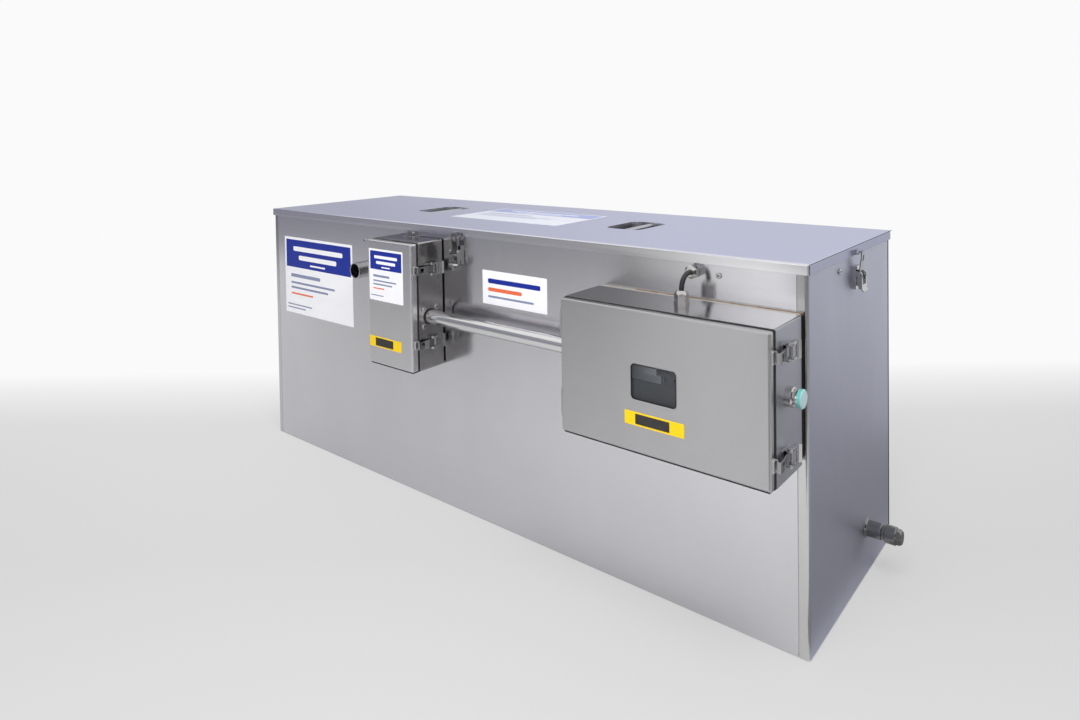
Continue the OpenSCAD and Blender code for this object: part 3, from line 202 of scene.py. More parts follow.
class Effects:
    """Shader node groups that several finishes share, each built once."""

    @staticmethod
    def _open(name: str, **inputs: float | Sequence[float]) -> tuple[Graph, Sockets]:
        """Open a new group.

        Args:
            name: Name of the group.
            inputs: Its inputs, each with a number or a vector to start from.

        Returns:
            The group's graph and what is fed into it.
        """
        tree = bpy.data.node_groups.new(name, "ShaderNodeTree")
        for label, value in inputs.items():
            kind = "NodeSocketFloat" if isinstance(value, float) else "NodeSocketVector"
            socket = tree.interface.new_socket(label, in_out="INPUT", socket_type=kind)
            socket.default_value = value
        graph = Graph(tree)
        return graph, graph.node("NodeGroupInput").outputs

    @staticmethod
    def _close(graph: Graph, **results: Socket) -> NodeTree:
        """Put out a group's results under their names.

        Args:
            graph: The group's graph.
            results: What it puts out.

        Returns:
            The finished group.
        """
        for name, socket in results.items():
            kind = "NodeSocketVector" if socket.type == "VECTOR" else "NodeSocketFloat"
            graph.tree.interface.new_socket(name, in_out="OUTPUT", socket_type=kind)
        graph.node("NodeGroupOutput", results)
        return graph.tree

    @staticmethod
    def _above(graph: Graph, cloud: Socket, cover: Socket) -> Socket:
        """Give how far a cloud rises above a level that falls as the cover grows."""
        return graph.maths("SUBTRACT", cloud, graph.maths("SUBTRACT", 1.0, cover))

    @cached_property
    def grain(self) -> NodeTree:
        """Fine lines of a brushed sheet or a turned rod."""
        graph, given = self._open("brushed_grain", Stretch=Grain.ALONG_X.value)
        lines = graph.scaled(graph.place(), given["Stretch"])
        fine = graph.noise(lines, scale=1.0, detail=2.0, roughness=0.6)
        broad = graph.noise(lines, scale=0.16, detail=2.0)
        return self._close(graph, Streak=graph.remap(fine, *CLOUD), Broad=graph.remap(broad, *CLOUD))

    @cached_property
    def smudge(self) -> NodeTree:
        """Hand marks and wiping marks on a sheet."""
        graph, given = self._open("wiping_marks", Scale=7.0, Cover=0.5)
        tall = graph.scaled(graph.place(), (1.0, 1.0, 0.45))
        cloud = graph.noise(tall, given["Scale"], detail=5.0, roughness=0.62, distortion=0.8)
        above = self._above(graph, cloud, given["Cover"])
        return self._close(graph, Mask=graph.remap(above, -0.1, 0.16))

    @cached_property
    def edges(self) -> NodeTree:
        """Small radius on sharp edges, and a mask that is 1 along them."""
        graph, given = self._open("broken_edges", Radius=0.8 * MM)
        soft = graph.node("ShaderNodeBevel", {"Radius": given["Radius"]}, samples=4).outputs[0]
        meet = graph.dot(soft, graph.geometry("Normal"))
        return self._close(graph, Normal=soft, Edge=graph.remap(meet, 0.995, 0.86))

    @cached_property
    def waves(self) -> NodeTree:
        """Slow waves of a thin sheet, taller than wide."""
        graph, given = self._open("sheet_waves", Stretch=(5.0, 5.0, 1.1))
        wide = graph.scaled(graph.place(), given["Stretch"])
        return self._close(graph, Height=graph.noise(wide, scale=1.0, detail=1.0, roughness=0.4))

    @cached_property
    def stain(self) -> NodeTree:
        """Blotches of rust or old sealant."""
        graph, given = self._open("brown_blotches", Scale=60.0, Cover=0.45)
        cloud = graph.noise(graph.place(), given["Scale"], detail=6.0, roughness=0.7)
        above = self._above(graph, cloud, given["Cover"])
        tone = graph.noise(graph.place(), scale=240.0, detail=4.0)
        return self._close(graph, Mask=graph.remap(above, -0.04, 0.08), Tone=tone)

    @cached_property
    def mould(self) -> NodeTree:
        """Fine pimpled skin of moulded plastic, rubber or vinyl."""
        graph, given = self._open("moulded_skin", Scale=1800.0)
        skin = graph.noise(graph.place(), given["Scale"], detail=2.0)
        return self._close(graph, Height=skin, Cloud=graph.noise(graph.place(), scale=35.0, detail=4.0))


class Finish:
    """Base of all finishes: a named material whose shader is a Principled BSDF."""

    name: str

    def material(self, effects: Effects) -> Material:
        """Make the material.

        Args:
            effects: The shared node groups.

        Returns:
            The material.
        """
        made = bpy.data.materials.new(self.name)
        made.use_nodes = True
        graph = Graph(made.node_tree)
        graph.feed(graph.tree.nodes["Principled BSDF"], self.surface(graph, effects))
        return made

    def surface(self, graph: Graph, effects: Effects) -> Feeds:
        """Draw the surface; each kind of finish has its own way.

        Args:
            graph: Graph of the material.
            effects: The shared node groups.

        Returns:
            What feeds the shader's inputs.
        """
        raise NotImplementedError


@dataclass(frozen=True)
class Steel(Finish):
    """Brushed or turned metal with grain, wiping marks, waves, a painted highlight along its edges, and
    painted light and shade on faces by the way they look.
    """

    name: str
    colour: Colour
    grain: Grain
    roughness: float = 0.16
    unevenness: Span = (0.96, 1.04)
    anisotropy: float = 0.7
    gloss_turn: float = 0.25
    around: str = "Z"
    streak: float = 0.01
    streak_span: Span = (0.3, 1.7)
    relief: float = 0.004
    line_depth: float = 0.1 * MM
    wave: float = 0.2 * MM
    smudge: float = 0.04
    mark_shade: float = 0.45
    mark_dulling: float = 0.02
    edge_radius: float = 0.6 * MM
    # Share and colour of the painted highlight along edges
    edge_highlight_share: float = 0.35
    edge_highlight_colour: Colour = (0.85, 0.85, 0.86)
    edge_tint: Colour = (0.8, 0.8, 0.82)
    # Painted light and shade: colour of faces that look along flank_axis
    flank: Colour | None = None
    flank_axis: str = "Y"
    flank_roughness: float = 0.16
    flank_turn: Span = (0.6, 0.8)
    # Painted shade: share of the flank colour left above flank_heights
    flank_top_shade: float = 1.0
    flank_heights: Span = (0.30, 0.42)
    # Painted shade: colour of faces that look along X
    ends: Colour | None = None

    def lined(self, graph: Graph, share: Socket, colour: Colour) -> Socket:
        """Give a colour with lines that are a little darker and paler."""
        return graph.mix(share, rgba(colour, 1 - self.streak), rgba(colour, 1 + self.streak))

    def brushed(self, graph: Graph, lines: Socket) -> tuple[Socket, Number]:
        """Give the sheet's colour with its fine lines, and its roughness, with painted light and shade on
        faces that look along the flank axis and along X.

        Args:
            graph: Graph of the material.
            lines: Values of the grain, 0 to 2.

        Returns:
            The colour and the roughness.
        """
        share = graph.remap(lines, *self.streak_span)
        face = self.lined(graph, share, self.colour)
        if self.flank is None:
            return face, self.roughness
        # Painted light and shade: faces that look along the flank axis take the flank colour
        looks = graph.split(graph.geometry("Normal"))
        turned = graph.remap(graph.maths("ABSOLUTE", looks[self.flank_axis]), *self.flank_turn)
        # Painted shade: faces that look along X take the ends colour
        if self.ends is not None:
            sideways = graph.remap(graph.maths("ABSOLUTE", looks["X"]), *self.flank_turn)
            face = graph.mix(sideways, face, rgba(self.ends))
        # Painted shade: the flank colour darkens towards the top
        height = graph.split(graph.place())["Z"]
        shade = graph.remap(height, *self.flank_heights, 1.0, self.flank_top_shade)
        flank = graph.mix(shade, rgba(self.flank, 0.0), self.lined(graph, share, self.flank))
        rough = graph.remap(turned, 0.0, 1.0, self.roughness, self.flank_roughness)
        return graph.mix(turned, face, flank), rough

    def surface(self, graph: Graph, effects: Effects) -> Feeds:
        """Draw the metal.

        Args:
            graph: Graph of the material.
            effects: The shared node groups.

        Returns:
            What feeds the shader's inputs.
        """
        grain = graph.group(effects.grain, Stretch=self.grain.value)
        marks = graph.group(effects.smudge)["Mask"]
        edges = graph.group(effects.edges, Radius=self.edge_radius)
        lines = graph.maths("ADD", grain["Streak"], grain["Broad"])
        brushed, level = self.brushed(graph, lines)
        wiping = graph.maths("MULTIPLY", marks, self.smudge)
        wiped = graph.mix(wiping, brushed, rgba(self.colour, self.mark_shade))
        # Painted highlight: edges blend towards a pale colour
        edge_highlight = graph.maths("MULTIPLY", edges["Edge"], self.edge_highlight_share)
        uneven = graph.maths("MULTIPLY", graph.remap(lines, 0.0, 2.0, *self.unevenness), level)
        dull = graph.maths("MULTIPLY", marks, self.mark_dulling)
        waves = graph.group(effects.waves)["Height"]
        waved = graph.bump(waves, 1.0, self.wave, Normal=edges["Normal"])
        return {
            "Base Color": graph.mix(edge_highlight, wiped, rgba(self.edge_highlight_colour)),
            "Roughness": graph.maths("ADD", uneven, dull),
            "Normal": graph.bump(grain["Streak"], self.relief, self.line_depth, Normal=waved),
            "Tangent": graph.node("ShaderNodeTangent", direction_type="RADIAL", axis=self.around).outputs[0],
            "Metallic": 1.0,
            "Anisotropic": self.anisotropy,
            "Anisotropic Rotation": self.gloss_turn,
            "Specular Tint": rgba(self.edge_tint),
        }


@dataclass(frozen=True)
class Moulded(Finish):
    """Plastic, rubber, paint or vinyl with a fine skin and a little dust."""

    name: str
    colour: Colour
    roughness: float = 0.45
    rough_shares: Span = (0.9, 1.15)
    skin: float = 1800.0
    skin_depth: float = 0.2 * MM
    relief: float = 0.08
    dust: float = 0.08
    dust_span: Span = (0.45, 0.75)
    dust_colour: Colour = (0.5, 0.49, 0.47)
    patches: float = 0.12
    patch_shade: float = 0.75
    gloss: float = 0.5

    def surface(self, graph: Graph, effects: Effects) -> Feeds:
        """Draw the moulding.

        Args:
            graph: Graph of the material.
            effects: The shared node groups.

        Returns:
            What feeds the shader's inputs.
        """
        skin = graph.group(effects.mould, Scale=self.skin)
        cloud = skin["Cloud"]
        dusting = graph.maths("MULTIPLY", graph.remap(cloud, *self.dust_span), self.dust)
        dusty = graph.mix(dusting, rgba(self.colour), rgba(self.dust_colour))
        patchy = graph.remap(cloud, *CLOUD, 0.0, self.patches)
        smooth, rough = (min(1.0, self.roughness * share) for share in self.rough_shares)
        return {
            "Base Color": graph.mix(patchy, dusty, rgba(self.colour, self.patch_shade)),
            "Roughness": graph.remap(cloud, *CLOUD, smooth, rough),
            "Normal": graph.bump(skin["Height"], self.relief, self.skin_depth),
            "Metallic": 0.0,
            "Specular IOR Level": self.gloss,
        }


@dataclass(frozen=True)
class Stained(Finish):
    """Dark foam or pale sealant with brown blotches."""

    name: str
    colour: Colour
    blotch: Colour
    blotch_shades: Span = (0.45, 1.4)
    scale: float = 60.0
    cover: float = 0.45
    roughness: float = 0.75
    smooth_share: float = 0.85
    relief: float = 0.5
    depth: float = 0.5 * MM

    def surface(self, graph: Graph, effects: Effects) -> Feeds:
        """Draw the stains.

        Args:
            graph: Graph of the material.
            effects: The shared node groups.

        Returns:
            What feeds the shader's inputs.
        """
        stain = graph.group(effects.stain, Scale=self.scale, Cover=self.cover)
        dark, pale = (rgba(self.blotch, shade) for shade in self.blotch_shades)
        tone = graph.mix(stain["Tone"], dark, pale)
        smooth = self.roughness * self.smooth_share
        return {
            "Base Color": graph.mix(stain["Mask"], rgba(self.colour), tone),
            "Roughness": graph.remap(stain["Tone"], *CLOUD, smooth, self.roughness),
            "Normal": graph.bump(stain["Tone"], self.relief, self.depth),
        }


@dataclass(frozen=True)
class TintedPane(Finish):
    """Smoked acrylic that shows dimly what is behind it."""

    name: str
    colour: Colour
    shades: Span = (0.9, 1.15)
    alpha: float = 0.17
    roughness: Span = (0.04, 0.12)
    haze_scale: float = 30.0
    haze_span: Span = (0.35, 0.7)

    def material(self, effects: Effects) -> Material:
        """Make the material and let it blend with what is behind it.

        Args:
            effects: The shared node groups.

        Returns:
            The material.
        """
        made = super().material(effects)
        made.surface_render_method = "BLENDED"
        return made

    def surface(self, graph: Graph, effects: Effects) -> Feeds:
        """Draw the pane.

        Args:
            graph: Graph of the material.
            effects: The shared node groups.

        Returns:
            What feeds the shader's inputs.
        """
        cloud = graph.group(effects.mould, Scale=self.haze_scale)["Cloud"]
        haze = graph.remap(cloud, *self.haze_span)
        dark, pale = (rgba(self.colour, shade) for shade in self.shades)
        return {
            "Base Color": graph.mix(haze, dark, pale),
            "Roughness": graph.remap(haze, 0.0, 1.0, *self.roughness),
            "Alpha": self.alpha,
            "Metallic": 0.0,
            "Transmission Weight": 0.0,
        }


@dataclass(frozen=True)
class CappedLens(Finish):
    """Bright ring that turns into a coloured lens past a plane across X, with a paler front that is partly
    painted highlight.
    """

    name: str
    ring: Colour
    lens: Colour
    # Colour of the lens's front face, paler than its sides: partly the lens's own colour and partly painted
    # highlight
    front: Colour
    lens_from: float
    lens_shades: Span = (0.8, 1.15)
    lens_scale: float = 700.0
    front_turn: Span = (0.5, 0.9)
    border: float = 0.05 * MM
    roughness: Span = (0.16, 0.3)
    edge_radius: float = 0.5 * MM
    coat_roughness: float = 0.05

    def surface(self, graph: Graph, effects: Effects) -> Feeds:
        """Draw the ring and the lens.

        Args:
            graph: Graph of the material.
            effects: The shared node groups.

        Returns:
            What feeds the shader's inputs.
        """
        along = graph.split(graph.place())["X"]
        lens = graph.remap(along, self.lens_from - self.border, self.lens_from + self.border)
        cloud = graph.group(effects.mould, Scale=self.lens_scale)["Cloud"]
        dark, pale = (rgba(self.lens, shade) for shade in self.lens_shades)
        side = graph.mix(graph.remap(cloud, *CLOUD), dark, pale)
        # Partly painted highlight: faces that look along X blend towards the paler front colour
        facing = graph.remap(graph.split(graph.geometry("Normal"))["X"], *self.front_turn)
        deep = graph.mix(facing, side, rgba(self.front))
        return {
            "Base Color": graph.mix(lens, rgba(self.ring), deep),
            "Roughness": graph.remap(lens, 0.0, 1.0, *self.roughness),
            "Normal": graph.group(effects.edges, Radius=self.edge_radius)["Normal"],
            "Metallic": graph.maths("SUBTRACT", 1.0, lens),
            "Coat Weight": lens,
            "Coat Roughness": self.coat_roughness,
        }


def fitting(name: str, colour: Colour, grain: Grain, roughness: float, **others: object) -> Steel:
    """Give the finish of a small metal part, which is too stiff for waves."""
    return Steel(name, colour, grain, roughness, wave=0.0, **others)


def vinyl(
    name: str, colour: Colour, roughness: float = 0.36, dust: float = 0.02, gloss: float = 0.25
) -> Moulded:
    """Give the finish of a printed field, flatter than a moulding."""
    return Moulded(name, colour, roughness, skin=500.0, relief=0.03, dust=dust, gloss=gloss)


class Look(Enum):
    """Every finish on the object."""

    WALL = Steel("wall_steel", (0.69, 0.688, 0.715), Grain.ALONG_X, wave=0.4 * MM)
    # End sheets: a darker, bluish copy of the wall steel, painted shade with a bluish painted light; their
    # returns darken towards the top, painted shade
    SHADED_END = Steel(
        "end_steel_painted_shade", (0.46, 0.47, 0.56), Grain.ALONG_Y, roughness=0.4, smudge=0.07, wave=0.4 * MM,
        flank=(0.64, 0.635, 0.63), flank_top_shade=0.74,
    )
    # Lid: a paler, bluish copy of the wall steel, painted light; its front and back rims paler still, painted
    # light; its end rims take the end sheets' painted shade
    LIT_LID = Steel(
        "lid_steel", (0.75, 0.76, 0.87), Grain.ALONG_X, roughness=0.2, edge_tint=(0.62, 0.63, 0.74),
        around="Y", flank=(0.80, 0.795, 0.81), ends=(0.46, 0.47, 0.55),
    )
    # Valve box: its sides that look along X take a darker colour, painted shade
    HOUSING = Steel(
        "housing_steel", (0.52, 0.515, 0.525), Grain.ALONG_X, roughness=0.13,
        flank=(0.43, 0.415, 0.415), flank_axis="X", flank_roughness=0.2,
    )
    # Control box: its sides that look along X take a darker, bluish colour, painted shade
    CONTROL = Steel(
        "control_steel", (0.56, 0.55, 0.54), Grain.ALONG_X, roughness=0.12,
        flank=(0.42, 0.425, 0.475), flank_axis="X", flank_roughness=0.4,
    )
    # Control door: strong painted highlight along its rounded edges
    DOOR = Steel(
        "door_steel", (0.51, 0.505, 0.515), Grain.ALONG_X, roughness=0.3,
        edge_radius=2.5 * MM, edge_highlight_share=0.8,
    )
    # Valve door: strong painted highlight along its rounded edges
    SMALL_DOOR = Steel(
        "small_door_steel", (0.70, 0.695, 0.71), Grain.ALONG_X, roughness=0.22,
        edge_radius=2.5 * MM, edge_highlight_share=0.8,
    )
    INNER = Steel("inner_steel", (0.40, 0.40, 0.40), Grain.ALONG_Z, roughness=0.42, smudge=0.3, wave=0.4 * MM)
    SEAM = Steel(
        "seam_weld", (0.50, 0.49, 0.48), Grain.ALONG_Z, roughness=0.45, streak=0.2, relief=0.4, wave=0.4 * MM,
    )
    PIPE = fitting("pipe_steel", (0.55, 0.55, 0.555), Grain.TURNED_Y, 0.26, anisotropy=0.3)
    CONDUIT = fitting("conduit_steel", (0.78, 0.78, 0.785), Grain.ALONG_X, 0.17, anisotropy=0.2)
    DRAIN = fitting("drain_steel", (0.24, 0.24, 0.235), Grain.TURNED_X, 0.2, anisotropy=0.2)
    NICKEL = fitting("bright_nickel", (0.60, 0.59, 0.58), Grain.TURNED_Z, 0.11, streak=0.03)
    LATCH = fitting("latch_steel", (0.60, 0.60, 0.605), Grain.ALONG_Z, 0.13, streak=0.03)
    # Latch hooks: a darker copy of the latch steel, painted shade
    SHADED_HOOK = fitting("hook_steel_painted_shade", (0.34, 0.34, 0.35), Grain.ALONG_Z, 0.15, streak=0.03)
    # Lid handles: a darker copy of the steel, painted shade in their recessed cups
    SHADED_HANDLE = fitting("handle_steel_painted_shade", (0.50, 0.50, 0.54), Grain.ALONG_Y, 0.25)
    ZINC = fitting("zinc_plate", (0.55, 0.56, 0.55), Grain.ALONG_X, 0.35)
    HEATER = fitting("heater_sheath", (0.38, 0.36, 0.34), Grain.ALONG_Z, 0.4)
    BRASS = fitting("plated_brass", (0.60, 0.55, 0.43), Grain.TURNED_X, 0.25)
    # Near-black strip over folds: painted shade and dark reflection of the fold
    FOLD_SHADE = fitting("corner_fold_shade", (0.07, 0.07, 0.09), Grain.ALONG_Z, 0.35, edge_tint=(0.1, 0.1, 0.12))
    RUBBER = Moulded("black_rubber", (0.012, 0.012, 0.013), roughness=0.55, dust=0.04)
    CABLE = Moulded("cable_jacket", (0.010, 0.010, 0.012), roughness=0.32, skin=900.0, dust=0.03)
    PLATE = Moulded("plate_paint", (0.20, 0.20, 0.20), roughness=0.5)
    PALE = Moulded("pale_plastic", (0.72, 0.73, 0.73))
    GREY = Moulded("grey_plastic", (0.62, 0.66, 0.71))
    DARK = Moulded("dark_plastic", (0.035, 0.037, 0.04), roughness=0.42)
    SILICONE = Moulded("pale_silicone", srgb(152, 149, 142), roughness=0.35, skin=300.0, dust=0.05)
    WHITE_INK = vinyl("white_vinyl", srgb(250, 250, 254), roughness=0.34)
    BLUE_INK = vinyl("blue_vinyl", srgb(14, 42, 150), roughness=0.34)
    ORANGE_INK = vinyl("orange_vinyl", srgb(238, 112, 70))
    GREY_INK = vinyl("grey_vinyl", srgb(138, 146, 176))
    YELLOW_INK = vinyl("yellow_vinyl", srgb(250, 210, 14))
    BLACK_INK = vinyl("black_vinyl", srgb(38, 36, 34), dust=0.04, gloss=0.5)
    FADED_WHITE = vinyl("faded_white", srgb(208, 211, 226), roughness=0.2, dust=0.03, gloss=0.5)
    FADED_BLUE = vinyl("faded_blue", srgb(92, 112, 192), roughness=0.2, dust=0.03, gloss=0.5)
    FOAM = Stained("foam_gasket", (0.012, 0.011, 0.011), srgb(92, 46, 34), scale=70.0, cover=0.40)
    SEALANT = Stained("old_sealant", srgb(96, 74, 58), srgb(140, 98, 66), scale=160.0, cover=0.5)
    PANE = TintedPane("smoked_pane", srgb(112, 116, 122))
    # Button lens: its paler front colour is partly painted highlight
    LENS = CappedLens(
        "button_lens", (0.62, 0.62, 0.62), srgb(92, 170, 165), srgb(176, 208, 215), lens_from=0.6774,
    )


class Wardrobe:
    """Makes each finish once and puts it on nodes and pieces."""

    def __init__(self, nodes: dict[str, Object]) -> None:
        """Start the shared effects.

        Args:
            nodes: The CAD nodes by name.
        """
        self.nodes = nodes
        self.effects = Effects()
        self.made: dict[Look, Material] = {}

    def material(self, look: Look) -> Material:
        """Give a finish's material.

        Args:
            look: The finish.

        Returns:
            Its material, made on first use.
        """
        if look not in self.made:
            self.made[look] = look.value.material(self.effects)
        return self.made[look]

    def dress(self, look: Look, *names: str) -> None:
        """Put a finish on CAD nodes.

        Args:
            look: The finish.
            names: Names of the nodes.
        """
        for name in names:
            materials = self.nodes[name].data.materials
            materials.clear()
            materials.append(self.material(look))
            LOG.info("%s: %s", name, look.value.name)


def rounded_outline(width: float, height: float, radius: float, steps: int = 5) -> Outline:
    """Draw a rectangle with round corners around the origin.

    Args:
        width: Size to the right.
        height: Size upwards.
        radius: Radius of the corners.
        steps: Points on each corner.

    Returns:
        The points, anticlockwise.
    """
    points: Outline = []
    for corner, (sx, sy) in enumerate(((1, 1), (-1, 1), (-1, -1), (1, -1))):
        for step in range(steps):
            turn = math.pi / 2 * (corner + step / (steps - 1))
            x = sx * (width / 2 - radius) + radius * math.cos(turn)
            y = sy * (height / 2 - radius) + radius * math.sin(turn)
            points.append((x, y))
    return points


def circle(radius: float, steps: int) -> Outline:
    """Draw a circle around the origin, anticlockwise."""
    turns = [2 * math.pi * step / steps for step in range(steps)]
    return [(radius * math.cos(turn), radius * math.sin(turn)) for turn in turns]


def rectangle(left: float, low: float, right: float, high: float) -> Outline:
    """Give the corners of a rectangle, anticlockwise."""
    return [(left, low), (right, low), (right, high), (left, high)]


class Piece:
    """Collects closed solids into one mesh object that rides on a body."""

    def __init__(self, name: str, body: str, looks: Sequence[Look], slot: str | None = None) -> None:
        """Start an empty piece.

        Args:
            name: Name of the piece.
            body: CAD body that it rides on.
            looks: Its finishes; solids name one of them.
            slot: Material slot of a record; not used.
        """
        self.name = name
        self.body = body
        self.looks = list(looks)
        self.slot = slot
        self.mesh = bmesh.new()

    def slab(self, outline: Outline, low: float, high: float, look: Look, seat: Matrix) -> None:
        """Add a flat closed slab.

        Args:
            outline: Its points, anticlockwise seen from the front.
            low: Height of its back.
            high: Height of its front.
            look: Its finish.
            seat: Matrix from the drawing to the object.
        """
        self._bar([[seat @ Vector((x, y, z)) for x, y in outline] for z in (low, high)], look)

    def sweep(self, path: Sequence[Vector], sections: Sequence[Sequence[Vector]], look: Look) -> None:
        """Add a closed bar through cross-sections.

        Args:
            path: Middle of each section.
            sections: Points of each section around its middle, as many in each.
            look: Its finish.
        """
        self._bar([[at + off for off in section] for at, section in zip(path, sections)], look)

    def hoop(self, rims: Sequence[tuple[Outline, float]], look: Look, seat: Matrix) -> None:
        """Add a closed hoop.

        Args:
            rims: Outline and height of each of its rims, in turn around its section.
            look: Its finish.
            seat: Matrix from the drawing to the object.
        """
        rings = self._rings([[seat @ Vector((x, y, z)) for x, y in outline] for outline, z in rims])
        self._skin(rings + rings[:1], look)

    def _bar(self, loops: Sequence[Sequence[Vector]], look: Look) -> None:
        """Add a bar through loops of points, closed at both ends.

        Args:
            loops: Its points, loop by loop.
            look: Its finish.
        """
        rings = self._rings(loops)
        for cap in (rings[0][::-1], rings[-1]):
            self.mesh.faces.new(cap).material_index = self.looks.index(look)
        self._skin(rings, look)

    def _rings(self, loops: Sequence[Sequence[Vector]]) -> list[list[bmesh.types.BMVert]]:
        """Make the mesh's points, loop by loop."""
        return [[self.mesh.verts.new(point) for point in loop] for loop in loops]

    def _skin(self, rings: Sequence[list[bmesh.types.BMVert]], look: Look) -> None:
        """Join each ring of points to the next by a band of faces.

        Args:
            rings: The rings.
            look: Finish of the bands.
        """
        for first, second in zip(rings, rings[1:]):
            for a, b, c, d in zip(first, first[1:] + first[:1], second[1:] + second[:1], second):
                self.mesh.faces.new((a, b, c, d)).material_index = self.looks.index(look)

    def finish(self, wardrobe: Wardrobe) -> None:
        """Make the object, dress it and set it on its body.

        Args:
            wardrobe: Gives the materials.
        """
        bmesh.ops.recalc_face_normals(self.mesh, faces=self.mesh.faces)
        data = bpy.data.meshes.new(self.name)
        self.mesh.to_mesh(data)
        self.mesh.free()
        for look in self.looks:
            data.materials.append(wardrobe.material(look))
        made = bpy.data.objects.new(self.name, data)
        bpy.context.scene.collection.objects.link(made)
        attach(made, self.body)
        LOG.info("%s: on %s, %d faces", self.name, self.body, len(data.polygons))


@dataclass(frozen=True)
class Field:
    """Plain field of colour on a label, in millimetres from the label's lower left corner."""

    look: Look
    left: float
    low: float
    width: float
    height: float
    radius: float = 0.6


def inked(look: Look, *places: Sequence[float]) -> tuple[Field, ...]:
    """Give fields of one colour, each by its left, low, width, height and corner radius."""
    return tuple(Field(look, *place) for place in places)


@dataclass(frozen=True)
class Label:
    """Blank adhesive plate with fields of colour and no words, in millimetres."""

    name: str
    body: str
    ground: Look
    fields: tuple[Field, ...]
    middle: Point
    width: float
    height: float
    facing: Facing = Facing.FRONT
    radius: float = 1.5
    thickness: float = 0.25
    print_step: float = 0.05
    print_growth: float = 0.1

    def build(self, wardrobe: Wardrobe) -> None:
        """Make the plate and its fields as one piece, each field a little prouder than the last.

        Args:
            wardrobe: Gives the materials.
        """
        looks = dict.fromkeys([self.ground, *(part.look for part in self.fields)])
        piece = Piece(self.name, self.body, list(looks))
        seat = self.facing.seat(Vector(self.middle) * MM)
        plate = rounded_outline(self.width * MM, self.height * MM, self.radius * MM)
        piece.slab(plate, 0.0, self.thickness * MM, self.ground, seat)
        for count, part in enumerate(self.fields, 1):
            across = part.left + part.width / 2 - self.width / 2
            up = part.low + part.height / 2 - self.height / 2
            shift = Matrix.Translation((across * MM, up * MM, 0))
            outline = rounded_outline(part.width * MM, part.height * MM, part.radius * MM, 4)
            back = self.thickness - self.print_step
            front = self.thickness + self.print_step * (1 + self.print_growth * count)
            piece.slab(outline, back * MM, front * MM, part.look, seat @ shift)
        piece.finish(wardrobe)


def islands(node: Object) -> Iterator[tuple[Vector, Vector]]:
    """Find the separate solids in a node's mesh.

    Args:
        node: The node.

    Yields:
        Lowest and highest corner of each solid.
    """
    mesh = bmesh.new()
    mesh.from_mesh(node.data)
    bmesh.ops.remove_doubles(mesh, verts=mesh.verts, dist=0.01 * MM)
    waiting = set(mesh.verts)
    while waiting:
        front = [waiting.pop()]
        found = list(front)
        while front:
            vert = front.pop()
            for edge in vert.link_edges:
                other = edge.other_vert(vert)
                if other in waiting:
                    waiting.remove(other)
                    front.append(other)
                    found.append(other)
        corners = [[pick(v.co[axis] for v in found) for axis in range(3)] for pick in (min, max)]
        yield Vector(corners[0]), Vector(corners[1])
    mesh.free()


